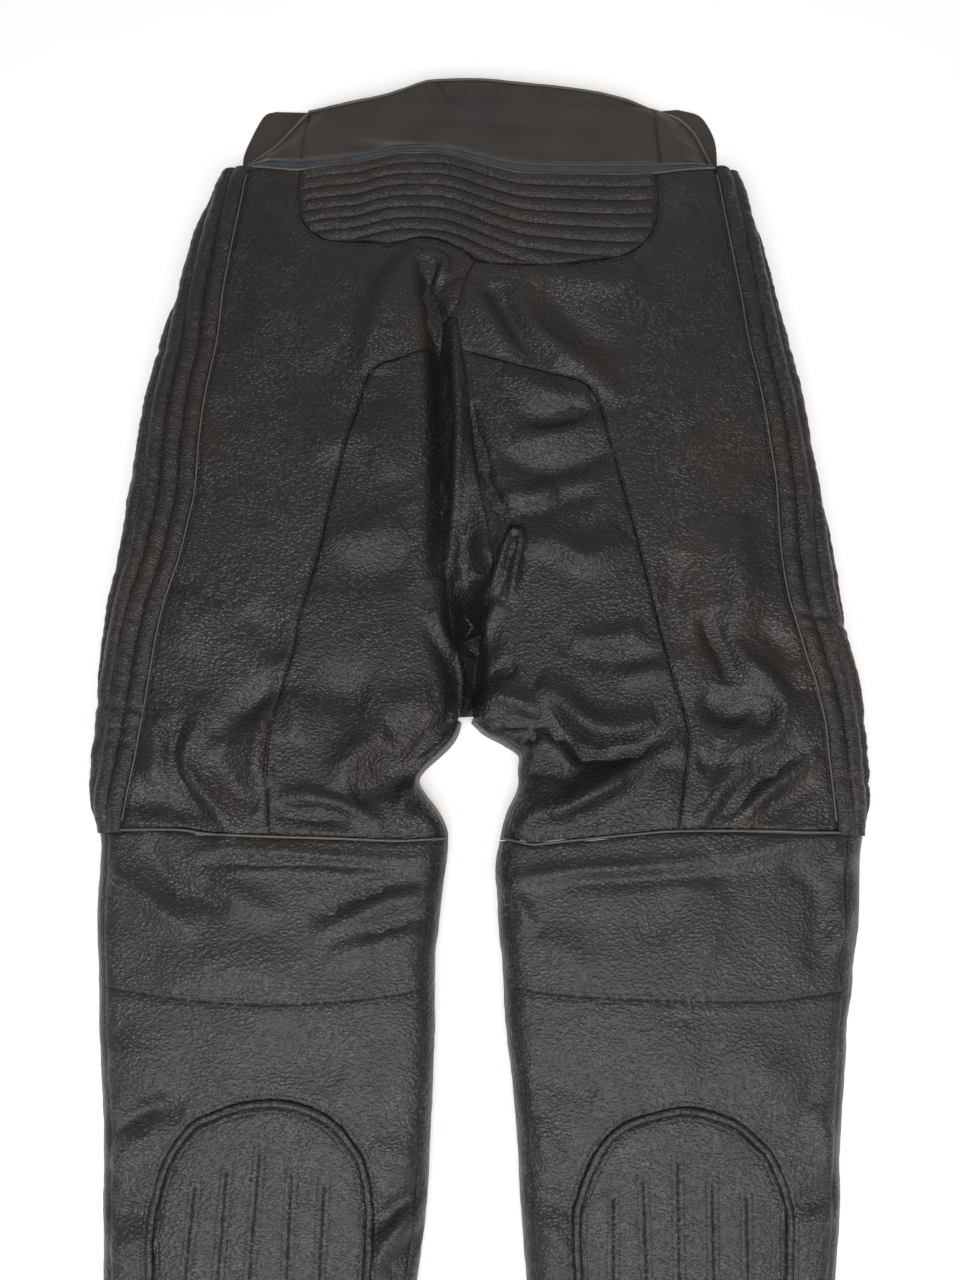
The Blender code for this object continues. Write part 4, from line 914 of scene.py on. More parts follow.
def blend_colours(tree, share, first, second):
    """A mix of two colours or colour sockets by a share."""
    made = tree.nodes.new("ShaderNodeMix")
    made.data_type = "RGBA"
    tree.links.new(share, made.inputs[0])
    for value, index in ((first, 6), (second, 7)):
        if isinstance(value, tuple):
            made.inputs[index].default_value = (*value, 1.0)
        else:
            tree.links.new(value, made.inputs[index])
    return made.outputs[2]


def math(tree, operation, first, second):
    """One arithmetic node; first and second are sockets or numbers."""
    made = tree.nodes.new("ShaderNodeMath")
    made.operation = operation
    for index, value in enumerate((first, second)):
        if isinstance(value, (int, float)):
            made.inputs[index].default_value = value
        else:
            tree.links.new(value, made.inputs[index])
    return made.outputs[0]


def spread(tree, value, low, high, to_low, to_high):
    """A value mapped from one range to another, held at its ends."""
    made = node(tree, "ShaderNodeMapRange", {"Value": value}, clamp=True)
    for index, number in zip((1, 2, 3, 4), (low, high, to_low, to_high)):
        made.inputs[index].default_value = number
    return made.outputs[0]


def leather(name, warm, cool, worn, grain=400.0, depth=0.00085, rough=(0.30, 0.46), wrinkle=0.35):
    """Pebbled leather whose colour drifts between a warm and a cool tone, paler on its pebbles' tops."""
    material, tree, shader, place = new_material(name)
    drift = clouds(tree, place, 9.0, 4.0)
    patches = clouds(tree, place, 34.0, 5.0)
    warp = clouds(tree, place, 120.0, output="Color")
    bent = node(tree, "ShaderNodeMix", data_type="VECTOR")
    bent.inputs[0].default_value = 0.0035
    tree.links.new(place, bent.inputs[4])
    tree.links.new(warp, bent.inputs[5])
    wide = node(tree, "ShaderNodeMapping", {"Vector": bent.outputs[1]})
    wide.inputs["Scale"].default_value = (0.74, 1.0, 1.0)
    cells = node(tree, "ShaderNodeTexVoronoi", {"Vector": wide.outputs[0]}, feature="F1", Scale=grain)
    dome = spread(tree, cells.outputs["Distance"], 0.08, 0.62, 1.0, 0.0)
    small = node(tree, "ShaderNodeTexVoronoi", {"Vector": wide.outputs[0]}, feature="F1", Scale=grain * 2.3)
    pores = spread(tree, small.outputs["Distance"], 0.1, 0.6, 1.0, 0.0)
    creased = node(tree, "ShaderNodeMapping", {"Vector": bent.outputs[1]})
    creased.inputs["Rotation"].default_value = (0.0, 0.0, 0.5)
    creased.inputs["Scale"].default_value = (0.35, 1.0, 1.0)
    lines = node(tree, "ShaderNodeTexNoise", {"Vector": creased.outputs[0]}, Scale=190.0, Detail=4.0,
                 Roughness=0.6).outputs["Fac"]
    height = math(tree, "ADD", math(tree, "MULTIPLY", dome, 0.62), math(tree, "MULTIPLY", pores, 0.26))
    height = math(tree, "ADD", height, math(tree, "MULTIPLY", lines, wrinkle))
    strength = spread(tree, patches, 0.3, 0.7, 0.65, 1.0)
    bump = node(tree, "ShaderNodeBump", {"Height": height, "Strength": strength}, Distance=depth)
    tree.links.new(bump.outputs[0], shader.inputs["Normal"])
    tone = blend_colours(tree, spread(tree, drift, 0.38, 0.62, 0.0, 1.0), warm, cool)
    topped = math(tree, "MULTIPLY", dome, spread(tree, patches, 0.42, 0.66, 0.05, 0.55))
    tree.links.new(blend_colours(tree, topped, tone, worn), shader.inputs["Base Color"])
    shine = math(tree, "ADD", spread(tree, patches, 0.3, 0.7, rough[1], rough[0]),
                 math(tree, "MULTIPLY", dome, -0.06))
    tree.links.new(shine, shader.inputs["Roughness"])
    shader.inputs["Specular IOR Level"].default_value = 0.5
    return material


def woven_tape(name):
    """Twill tape: fine diagonal ribs with a bluish grey bloom."""
    material, tree, shader, place = new_material(name)
    ribs = node(tree, "ShaderNodeTexWave", {"Vector": place}, Scale=330.0, Distortion=1.0, Detail=1.0,
                bands_direction="DIAGONAL").outputs["Fac"]
    fibres = clouds(tree, place, 900.0, 3.0)
    worn = clouds(tree, place, 45.0, 4.0)
    mixed = math(tree, "ADD", math(tree, "MULTIPLY", fibres, 0.6), math(tree, "MULTIPLY", worn, 0.4))
    colour = ramp(tree, mixed,
                  [(0.3, (0.030, 0.033, 0.038)), (0.55, (0.075, 0.082, 0.092)), (0.8, (0.16, 0.17, 0.18))])
    tree.links.new(colour, shader.inputs["Base Color"])
    relief(tree, shader, math(tree, "ADD", ribs, fibres), 0.0002, 0.7)
    tree.links.new(spread(tree, worn, 0.3, 0.7, 0.85, 0.7), shader.inputs["Roughness"])
    return material


def thread(name, colour):
    """Twisted sewing thread."""
    material, tree, shader, place = new_material(name)
    twist = clouds(tree, place, 2600.0)
    light = tuple(min(1.0, value * 2.4) for value in colour)
    tree.links.new(ramp(tree, twist, [(0.35, colour), (0.7, light)]), shader.inputs["Base Color"])
    relief(tree, shader, twist, 0.0001, 0.5)
    tree.links.new(spread(tree, twist, 0.3, 0.7, 0.75, 0.6), shader.inputs["Roughness"])
    return material


def metal(name, colour):
    """Lightly scratched metal."""
    material, tree, shader, place = new_material(name)
    scuff = clouds(tree, place, 700.0, 3.0)
    dark = tuple(value * 0.7 for value in colour)
    tree.links.new(ramp(tree, scuff, [(0.35, dark), (0.65, colour)]), shader.inputs["Base Color"])
    tree.links.new(spread(tree, scuff, 0.3, 0.7, 0.28, 0.45), shader.inputs["Roughness"])
    shader.inputs["Metallic"].default_value = 1.0
    return material


hide = leather("body_leather", (0.022, 0.017, 0.0145), (0.014, 0.0145, 0.016), (0.075, 0.066, 0.060))
# The seat's leather is a darker copy of the body leather: painted shade on the seat panels, the gusset and
# the inner thighs' strips.
shaded_seat_hide = leather("seat_leather", (0.0135, 0.0115, 0.0105), (0.0095, 0.0105, 0.012), (0.055, 0.050, 0.048),
                    rough=(0.33, 0.5))
quilt_hide = leather("quilted_leather", (0.022, 0.0165, 0.014), (0.014, 0.0138, 0.0148),
                     (0.080, 0.068, 0.060), grain=520.0, wrinkle=1.1, rough=(0.36, 0.52))
# The lower legs' leather is a greyer, paler copy of the body leather: a painted sheen on the knees and
# calves.
sheen_leg_hide = leather("leg_leather", (0.021, 0.0195, 0.0185), (0.018, 0.019, 0.0205), (0.085, 0.084, 0.084),
                   rough=(0.34, 0.48))
yoke_hide = leather("yoke_leather", (0.050, 0.039, 0.032), (0.036, 0.031, 0.029), (0.075, 0.062, 0.054),
                    grain=900.0, depth=0.00012, rough=(0.5, 0.66), wrinkle=0.9)
# The rolled edges' and the thigh piping's leather is several times paler than the body leather: a painted
# highlight along them.
painted_highlight_edge_hide = leather("rolled_edge", (0.120, 0.100, 0.086), (0.090, 0.082, 0.075), (0.24, 0.21, 0.19),
                    grain=900.0, depth=0.0002, rough=(0.36, 0.5), wrinkle=0.8)
tape_weave = woven_tape("zip_tape_weave")
black_thread = thread("black_thread", (0.012, 0.012, 0.013))
brown_thread = thread("brown_thread", (0.030, 0.024, 0.020))
coil = metal("zip_coil", (0.42, 0.43, 0.45))


def edge_section(edge, inward, roll_height, lip, under):
    """Points round a rolled edge, from the seam on the back to the one underneath."""
    turn = np.linspace(0, pi / 2, 14)
    above = lip * (1 - np.sin(turn))
    x = edge[0] + inward[0] * above
    y = edge[1] + inward[1] * above
    top = np.column_stack([x, y, back_height(x, y)])
    top[-1, 2] = roll_height
    below = roll_height * (1 - np.cos(turn[1:]))
    depth = roll_height * (1 - np.sin(turn[1:]))
    if under > roll_height:
        below = np.append(below, np.linspace(roll_height, under, 8)[1:])
        depth = np.append(depth, np.zeros(7))
    bottom = np.column_stack([edge[0] + inward[0] * below, edge[1] + inward[1] * below, depth])
    return np.vstack([top, bottom])


def section_normals(section, inward):
    """Directions that stand out from a section, upright but where it meets the back's seam."""
    run = np.gradient(section, axis=0)
    level = run[:, 0] * inward[0] + run[:, 1] * inward[1]
    rise = run[:, 2]
    length = np.hypot(level, rise)
    out_level = rise / length
    out_rise = -level / length
    normals = np.column_stack([out_level * inward[0], out_level * inward[1], out_rise])
    normals[0] = surface(section[:1, :2], back_height)[1][0]
    return normals


def leg_outlines(side):
    """The outer and inner outlines of a leg."""
    return (outer_left, inner_left) if side < 0 else (outer_right, inner_right)


# Where the quilting is pinched: its place along the garment, its slant for each rib, and how much
PINCHES = {-1: [(30, -2.0, 0.6), (18, 1.5, 0.5), (4, -1.5, 0.4), (330, 2.0, 0.25), (210, -2.0, 0.25)],
           1: [(106, 3.0, 0.85), (94, 2.0, 0.4), (300, -2.0, 0.25), (-20, 2.0, 0.4), (200, 2.0, 0.25)]}
PINCH_WIDTH = 3.5


def quilt(name, side):
    """A ribbed side strip that wraps from the hip panel's seam round to the underside."""
    seam = quilt_left if side < 0 else quilt_right
    outline = leg_outlines(side)[0]
    inward = (-float(side), 0.0)
    per_rib = 12
    columns = QUILT_RIBS * per_rib
    width = QUILT_RIBS * QUILT_PITCH
    rows = resample(np.array([[WAIST], [MID_SEAM - (0.9 if side < 0 else 3.0)]]), 1.7)[:, 0]
    share = np.arange(columns + 1) / per_rib
    rib = np.abs(np.sin(pi * share)) ** 0.72
    number = np.minimum(np.floor(share), QUILT_RIBS - 1)
    outer = []
    inner = []
    for y in rows:
        edge_x = float(outline(y)) - side * QUILT_RISE * 0.8
        lip = abs(float(seam(y)) - edge_x) - SEAM_GAP / 2
        section = edge_section((edge_x, y), inward, float(edge_height(y)), lip, 140.0)
        fine = resample(section, 0.5)
        lengths = np.concatenate(([0], np.cumsum(np.linalg.norm(np.diff(fine, axis=0), axis=1))))
        line = resample(fine[lengths <= width], count=columns)
        normals = section_normals(line, inward)
        resting = ease(line[:, 2], 0.5, 7.0)
        slant = share * QUILT_PITCH * 0.30 * side
        cross = noise(number * 37.0 + 3.0 * share, y + slant, 2.6, 31 + side)
        coarse = noise(number * 53.0, y + slant * 0.5, 9.0, 37 + side)
        pinch = sum(amount * np.exp(-((y - at + lean * share) / PINCH_WIDTH) ** 2)
                    for at, lean, amount in PINCHES[side])
        lift = rib * ((QUILT_RISE + 0.6 * coarse) * (1 - pinch) + cross * 0.45)
        outer.append(line + normals * (lift * resting)[:, None])
        inner.append(line - normals * LEATHER)
    outer, inner = np.array(outer), np.array(inner)
    thing = shell(name, outer, inner, quilt_hide)
    stand_for(thing, "leather", name.replace("_leather", ""))
    return outer[:, -1, :2]


def edge_frame(line, side):
    """Level directions from an inner edge into its leg."""
    run = heading(line)
    inward = -side * np.stack([run[:, 1], -run[:, 0]], 1)
    inward[-1] = (side, 0.0)
    return inward


def inner_edge_line(side, step=2.4):
    """The inner edge of a leg between the crotch and the mid-thigh seam."""
    inner = leg_outlines(side)[1]
    ys = np.linspace(CROTCH - 1.0, MID_INNER - 0.6, 120)
    return resample(np.column_stack([inner(ys), ys]), step)


def inner_strip(name, side):
    """The strip that rolls round the inner edge of a thigh."""
    line = inner_edge_line(side)
    inward = edge_frame(line, side)
    outer = []
    inner = []
    for edge, direction in zip(line, inward):
        section = edge_section(edge, direction, float(inner_height(edge[1])), INNER_LIP - 0.1, UNDER_WRAP)
        row = resample(section, count=16)
        outer.append(row)
        inner.append(row - section_normals(row, direction) * LEATHER)
    # The strip takes the seat's darker leather: painted shade.
    thing = shell(name, np.array(outer), np.array(inner), shaded_seat_hide)
    stand_for(thing, "leather", name.replace("_leather", ""))
    return thing, line, inward


def outer_wrap(side, y):
    """How far the front wraps over a leg's outer edge; the right one is wider above the knee."""
    if side < 0:
        return LEG_WRAP
    return LEG_WRAP + RIGHT_WRAP_EXTRA * (1 - ease(-y, 150.0, 195.0))


def front_leg(name, side, top_outer, top_inner):
    """The front of a lower leg: flat underneath and rolled up over both of the leg's edges."""
    outline, inner_outline = leg_outlines(side)
    rows = 150
    into, back = (-float(side), 0.0), (float(side), 0.0)
    outer = []
    inner = []
    for row in range(rows + 1):
        share = row / rows
        y_outer = top_outer + (HEM - top_outer) * share
        y_inner = top_inner + (HEM - top_inner) * share
        outside = edge_section((float(outline(y_outer)), y_outer), into, float(edge_height(y_outer)),
                               outer_wrap(side, y_outer) - SEAM_GAP / 2, UNDER_TUCK)
        inside = edge_section((float(inner_outline(y_inner)), y_inner), back, float(inner_height(y_inner)),
                              LEG_WRAP - SEAM_GAP / 2, UNDER_TUCK)
        first, last = resample(outside, count=18), resample(inside, count=18)
        flat = np.linspace(first[-1], last[-1], 32)[1:-1]
        normals = np.vstack([section_normals(first, into), np.tile([0.0, 0.0, -1.0], (len(flat), 1)),
                             section_normals(last, back)[::-1]])
        line = np.vstack([first, flat, last[::-1]])
        resting = 1 - ease(line[:, 2], 0.0, 0.6)
        folds = resting_lift(line[:, 0], line[:, 1])
        reach = np.concatenate([np.zeros(15), np.linspace(0, 1, 10), np.ones(len(line) - 50),
                                np.linspace(1, 0, 10), np.zeros(15)])
        small = noise(line[:, 0] * 0.4 + line[:, 2] * 2, line[:, 1], 6.0, 41) * 0.35
        edge_fade = np.concatenate([np.linspace(0, 1, 5), np.ones(len(line) - 10), np.linspace(1, 0, 5)])
        moved = line + normals * (small * edge_fade * (1 - resting))[:, None]
        moved[0, 2] -= SEAM_DIP * 0.6
        moved[-1, 2] -= SEAM_DIP * 0.6
        lift = folds * reach * resting
        moved[:, 2] += lift
        outer.append(moved)
        under = line - normals * LEATHER
        under[:, 2] += lift
        inner.append(under)
    # The front of the leg takes the greyer leg leather: a painted sheen.
    thing = shell(name, np.array(outer), np.array(inner), sheen_leg_hide)
    return stand_for(thing, "leg_leather", name.replace("_leather", ""))


def strip(name, left_line, right_line, rises, material):
    """A raised strip, such as piping, between two lines with the same number of points."""
    outer = []
    inner = []
    for share, rise in zip(np.linspace(0, 1, len(rises)), rises):
        points, normals = surface(left_line * (1 - share) + right_line * share)
        ripple = noise(points[:, 0] + points[:, 1], points[:, 1] - points[:, 0], 4.0, 43) * 0.12 * rise
        outer.append(points + normals * (rise + ripple)[:, None])
        inner.append(points - normals * LEATHER)
    return shell(name, np.stack(outer, 1), np.stack(inner, 1), material)


def piping_profile(rise, count=9):
    """Rises across a rounded piping."""
    return list(rise * np.sin(np.linspace(0, pi, count)) ** 0.6 + 0.05)


lumbar_pitch = smooth_curve([-150, -45, 20, 80, 147], [10.6, 10.8, 11.7, 12.8, 13.3])


def lumbar_rise(x, y):
    """How far the lumbar panel's padded ribs stand out, with fine wrinkles across them."""
    below = (zip_line(x) - y) / lumbar_pitch(x)
    fade = 1 - ease(np.abs(x + 1.5) / 149.0, 0.95, 0.995)
    rib = np.abs(np.sin(pi * below)) ** 0.75
    number = np.floor(below)
    cross = noise(x + 2.5 * below, number * 41.0 + 2.0 * below, 2.8, 47)
    coarse = noise(x, number * 61.0, 14.0, 53)
    return rib * fade * (LUMBAR_RISE + 0.45 * coarse + 0.30 * cross)


def lumbar_rows():
    """Points close together across the lumbar panel's ribs."""
    xs = np.arange(-150, 149, 1.9)
    depths = np.arange(0.0, 9.0, 1 / 10)
    grid_x, grid_depth = np.meshgrid(xs, depths)
    grid_x[1::2] += 0.95
    grid_x, grid_depth = grid_x.ravel(), grid_depth.ravel()
    return np.stack([grid_x, zip_line(grid_x) - lumbar_pitch(grid_x) * grid_depth], 1)


def rolled_edge(name, line, radius, lift, slot="piping", material=painted_highlight_edge_hide):
    """A thin rolled edge along a seam, pale by default: a painted highlight."""
    points, normals = surface(resample(line, 2.2))
    points = points + normals * lift
    thing = cord_along(name, points, normals, radius, material)
    return stand_for(thing, slot)


TOOTH_PITCH = 1.45
TOOTH_RADIUS = 0.52
TOOTH_SIDES = 6
TOOTH_LIFT = 0.05
TOOTH_RINGS = ((-1.35, 0.4), (-1.0, 1.0), (1.0, 1.0), (1.5, 0.5))
TAPE_RISES = [0.0, 0.1, -0.2, -0.4, -0.6, -0.6, -0.6]


def build_waist():
    """The yoke, the connection zip's tape and the front waistband."""
    low = rounded(ZIP_LOW, 2.4)
    high = resample(rounded(ZIP_HIGH, 2.4), count=len(low) - 1)
    gap = np.array([0.0, 0.8])
    tape = strip("zip_tape_woven", low + gap, high - gap, TAPE_RISES, tape_weave)
    stand_for(tape, "zip_tape", "zip_tape")

    teeth_line = resample(high - np.array([0.0, 1.6]), TOOTH_PITCH)[3:-3]
    points, normals = surface(teeth_line)
    run = heading(points)
    across = np.cross(run, normals)
    vertices, faces = [], []
    for point, forward, sideways, normal in zip(points, run, across, normals):
        centres = [point + sideways * along + normal * TOOTH_LIFT for along, share in TOOTH_RINGS]
        sizes = [TOOTH_RADIUS * share for along, share in TOOTH_RINGS]
        add_bead(vertices, faces, centres, sizes, forward, normal, TOOTH_SIDES)
    teeth = make_object("zip_teeth", np.array(vertices), faces, coil, sharp=None)
    turn_outwards(teeth)
    stand_for(teeth, "zip_tape")

    step = SKIN_STEP
    top_line = rounded(ZIP_HIGH, step)
    left_bottom, rest = split(top_line, YOKE_SEAM_LEFT[0])
    middle_bottom, right_bottom = split(rest, YOKE_SEAM_RIGHT[0])
    seam_left = rounded([left_bottom[-1], YOKE_SEAM_LEFT[1]], step)
    seam_right = rounded([middle_bottom[-1], YOKE_SEAM_RIGHT[1]], step)
    top = rounded(YOKE_TOP, step)
    side_left, side_right = rounded(YOKE_SIDE_LEFT, step), rounded(YOKE_SIDE_RIGHT, step)

    def creased(x, y):
        """The yoke's own soft creases."""
        return look_up(yoke_folds, x, y)

    pieces = [
        ("back_yoke", join(middle_bottom, seam_right, top[::-1], seam_left[::-1])),
        ("back_yoke_side_left", join(left_bottom, seam_left, side_left)),
        ("back_yoke_side_right", join(right_bottom, side_right[::-1], seam_right[::-1])),
    ]
    for name, loop in pieces:
        thing = panel(name + "_leather", loop, yoke_hide, raised=creased, calm=0.45, dip=1.5)
        stand_for(thing, "yoke_leather", name)

    band = join(rounded(BAND[:5], 3.0), rounded(BAND[4:9], 4.0), rounded(BAND[8:], 3.0))
    band[:, 1] = np.maximum(band[:, 1], WAIST + SEAM_GAP / 2)
    waistband = flat_panel("front_waistband_leather", band, yoke_hide, step=5.0)
    stand_for(waistband, "yoke_leather", "front_waistband")

    # The yoke's top edge and the zip's lower edge are pale: a painted highlight.
    rim = np.vstack([side_left[::-1], top[1:], side_right[1:]])
    rolled_edge("yoke_top_edge", offset(rim, -1.0), 1.15, 0.1, "yoke_leather")
    rolled_edge("zip_lower_edge", low[2:-2] - np.array([0.0, 1.3]), 1.0, 0.25)
    rows = [offset(rim, -YOKE_ROW)[3:-3], seam_left + [SEAM_ROW, 0], seam_right - [SEAM_ROW, 0],
            top_line[6:-6] + [0, CENTRE_ROW]]
    stitches("yoke_stitches", rows, brown_thread, "yoke_leather")


def build_back():
    """The lumbar, hip and seat panels, the gusset and the piping in the mid-thigh seams."""
    step = SKIN_STEP
    low = rounded(ZIP_LOW, step)
    lumbar = rounded(LUMBAR, step)
    hip_top_left = [p for p in low if QUILT_LEFT[0][0] < p[0] < LUMBAR[0][0]]
    lumbar_top = [p for p in low if LUMBAR[0][0] < p[0] < LUMBAR[-1][0]]
    hip_top_right = [p for p in low if LUMBAR[-1][0] < p[0] < QUILT_RIGHT[0][0]]
    lumbar_left, lumbar_right = split(lumbar, CENTRE[0])
    centre = rounded([lumbar_left[-1]] + CENTRE[1:], step)
    seat_left, seat_right = rounded(SEAT_LEFT, step), rounded(SEAT_RIGHT, step)
    gusset_left, gusset_right = rounded(GUSSET_LEFT, step), rounded(GUSSET_RIGHT, step)
    ys = np.linspace(WAIST, MID_SEAM + 2.5, 220)
    side_left, side_right = np.column_stack([quilt_left(ys), ys]), np.column_stack([quilt_right(ys), ys])
    mid_left, mid_right = rounded(MID_LEFT, step), rounded(MID_RIGHT, step)
    raise_by = np.array([0.0, THIGH_PIPING / 2])
    outer_mid_left, inner_mid_left = split(mid_left + raise_by, SEAT_LEFT[-1])
    inner_mid_right, outer_mid_right = split(mid_right + raise_by, SEAT_RIGHT[-1])

    def groove(line, first=3, last=-3):
        """A shallow line of topstitching."""
        return (line[first:last], 0.8, 0.5)

    lumbar_loop = join([LUMBAR[0]], lumbar, lumbar_top[::-1])
    lumbar_panel = panel("lumbar_panel_leather", lumbar_loop, quilt_hide, raised=lumbar_rise,
                         rows=lumbar_rows(), calm=0.3, dip=0.9)
    stand_for(lumbar_panel, "leather", "lumbar_panel")

    side_row_left, side_row_right = offset(side_left, HIP_ROW), offset(side_right, -HIP_ROW)
    below_lumbar_left, below_lumbar_right = offset(lumbar_left, -HIP_ROW), offset(lumbar_right, -HIP_ROW)
    loops = [
        ("hip_panel_left", hide, (),
         join([QUILT_LEFT[0]], hip_top_left, lumbar_left, centre, [GUSSET_TOP_LEFT], seat_left[:-1],
              outer_mid_left[:0:-1], side_left[::-1]),
         [groove(side_row_left), groove(below_lumbar_left)]),
        ("hip_panel_right", hide, (),
         join([QUILT_RIGHT[0]], hip_top_right[::-1], lumbar_right[::-1], centre, [GUSSET_TOP_RIGHT],
              seat_right[:-1], outer_mid_right[:-1], side_right[::-1]),
         [groove(side_row_right), groove(below_lumbar_right)]),
        # The gusset and the seat panels take the seat's darker leather: painted shade.
        ("crotch_gusset", shaded_seat_hide, (),
         join([CENTRE[-1], GUSSET_TOP_LEFT], gusset_left, gusset_right[::-1], [GUSSET_TOP_RIGHT]),
         []),
    ]
    edges = {}
    for side in (-1, 1):
        line = inner_edge_line(side)
        edges[side] = line + edge_frame(line, side) * INNER_LIP
    seat_row_right = offset(gusset_right, HIP_ROW)
    loops += [
        ("seat_panel_left", shaded_seat_hide, (edges[-1],),
         join(seat_left[:-1], inner_mid_left, edges[-1][::-1], gusset_left[::-1]), []),
        ("seat_panel_right", shaded_seat_hide, (edges[1],),
         join(seat_right[:-1], inner_mid_right[::-1], edges[1][::-1], gusset_right[::-1]),
         [groove(seat_row_right, 2, -6)]),
    ]
    for name, material, flush, loop, creases in loops:
        thing = panel(name + "_leather", loop, material, creases=creases, flush=flush)
        stand_for(thing, "leather", name)

    # The thigh piping is pale: a painted highlight.
    for name, line in (("thigh_piping_left", mid_left), ("thigh_piping_right", mid_right)):
        half = np.array([0.0, THIGH_PIPING / 2 - 0.4])
        thing = strip(name + "_leather", line + half, line - half,
                      piping_profile(THIGH_PIPING_RISE), painted_highlight_edge_hide)
        stand_for(thing, "piping", name)

    # The hip edges take the pale edge leather, a painted highlight; the seat edges take the body leather.
    for word, line, out in (("left", side_left, 1), ("right", side_right, -1)):
        rolled_edge("hip_edge_" + word, offset(line, 0.6 * out)[3:-2], 0.8, 0.0, "leather")
    for word, line, out in (("right", seat_right, 1), ("left", seat_left, -1)):
        rolled_edge("seat_edge_" + word, offset(line, 0.5 * out)[3:-3], 0.7, -0.1, "leather", hide)
    rows = [side_row_left[3:-3], side_row_right[3:-3], below_lumbar_left[2:-2], below_lumbar_right[2:-2],
            offset(seat_left, -HIP_ROW)[3:-3], offset(seat_right, HIP_ROW)[3:-3]]
    stitches("hip_stitches", rows, black_thread, "leather")
    stitches("gusset_stitches", [seat_row_right[2:-6], offset(centre, CENTRE_ROW)], brown_thread, "leather")
    bar = [np.array([[-33, 350 - 0.9 * index], [-16, 350.6 - 0.9 * index]]) for index in range(5)]
    stitches("bartack", bar, black_thread, "leather", pitch=3.0, length=3.2, radius=0.5, sink=-0.2)


def leg_edge(side, where, low, high, step):
    """The seam where the front's wrap meets the back of a lower leg."""
    outline, inner_outline = leg_outlines(side)
    ys = np.linspace(low, high, max(2, round(abs(high - low) / step) + 1))
    if where == "outer":
        return np.column_stack([outline(ys) - side * (outer_wrap(side, ys) + 0.1), ys])
    return np.column_stack([inner_outline(ys) + side * (LEG_WRAP + 0.1), ys])


def build_lower_leg(word, side, mid, knee, arch, tucks):
    """The back of one lower leg: knee panel, calf panel, arched panel and its piping."""
    step = SKIN_STEP
    top = rounded(mid, step) - np.array([0.0, THIGH_PIPING / 2])
    outer_end, inner_end = (top[0], top[-1]) if side < 0 else (top[-1], top[0])
    corner = float(leg_outlines(side)[1](inner_end[1])) + side * LEG_WRAP
    inner_end = np.array([corner, np.interp(corner, top[:, 0], top[:, 1])])
    knee_line = rounded(knee, step)
    knee_outer, knee_inner = (knee_line[0], knee_line[-1]) if side < 0 else (knee_line[-1], knee_line[0])
    outer_upper = leg_edge(side, "outer", outer_end[1], knee_outer[1], step)
    inner_upper = leg_edge(side, "inner", inner_end[1], knee_inner[1], step)
    outer_lower = leg_edge(side, "outer", knee_outer[1], HEM, step)
    inner_lower = leg_edge(side, "inner", knee_inner[1], HEM, step)
    across_top = top if side < 0 else top[::-1]
    across_knee = knee_line if side < 0 else knee_line[::-1]
    reach = [p for p in across_top if abs(p[0]) < abs(outer_upper[0][0]) - 1
             and side * p[0] > side * inner_upper[0][0] + 1]
    knee_reach = np.array([p for p in across_knee if abs(p[0]) < abs(outer_upper[-1][0]) - 1
                           and side * p[0] > side * inner_upper[-1][0] + 1])
    outward = 1 if side < 0 else -1
    above, below = offset(knee_reach, KNEE_ROW * outward), offset(knee_reach, -KNEE_ROW * outward)
    # The knee, calf and arched panels and the arch piping take the greyer leg leather: a painted sheen.
    knee_panel = panel("knee_back_" + word + "_leather",
                       join(outer_upper[::-1], reach, inner_upper, knee_reach[::-1]), sheen_leg_hide,
                       creases=[(above[2:-2], 0.8, 0.35)])
    stand_for(knee_panel, "leg_leather", "knee_back_" + word)

    inner_arch = rounded(arch, 2.2)
    outer_arch = offset(inner_arch, ARCH_PIPING + SEAM_GAP)
    outer_arch[:, 1] = np.maximum(outer_arch[:, 1], HEM)
    piping_near, piping_far = offset(inner_arch, SEAM_GAP), offset(inner_arch, ARCH_PIPING)
    for line in (piping_near, piping_far, outer_arch):
        line[0, 1] = HEM
        line[-1, 1] = HEM
    outside_row, inside_row = (offset(inner_arch, distance) for distance in ARCH_ROWS)
    arch_from_outer = outer_arch if side < 0 else outer_arch[::-1]
    calf = panel("calf_back_" + word + "_leather",
                 join(outer_lower[::-1], knee_reach, inner_lower, arch_from_outer[::-1]), sheen_leg_hide,
                 creases=[(below[2:-2], 0.8, 0.35), (outside_row[6:-6], 0.8, 0.45)])
    stand_for(calf, "leg_leather", "calf_back_" + word)

    rows = [above[2:-2], below[2:-2], outside_row[6:-6], inside_row[6:-6]]
    creases = [(inside_row[6:-6], 0.8, 0.45)]
    for start, end in tucks:
        start, end = np.array(start, float), np.array(end, float)
        along = (end - start) / np.linalg.norm(end - start)
        end = start + along * ((HEM + 14.0 - start[1]) / along[1])
        sideways = np.array([-along[1], along[0]])
        creases.append((np.array([start + along * TUCK_START, end]), 0.7, 1.0))
        for shift in (-TUCK_HALF, TUCK_HALF):
            row = np.array([start + sideways * shift, end + sideways * shift])
            creases.append((row, 0.75, 0.3))
            rows.append(row)
        rows.append(np.array([start - sideways * TUCK_HALF, start + sideways * TUCK_HALF]))
    arched = panel("calf_arch_" + word + "_leather", join(inner_arch), sheen_leg_hide, creases=creases)
    stand_for(arched, "leg_leather", "calf_arch_" + word)
    piping = strip("arch_piping_" + word + "_leather", piping_near, piping_far,
                   piping_profile(ARCH_PIPING_RISE, 11), sheen_leg_hide)
    stand_for(piping, "leg_leather", "arch_piping_" + word)
    stitches("leg_stitches_" + word, rows, black_thread, "leg_leather", pitch=2.9, length=2.0, radius=0.32)
    return outer_end, inner_end


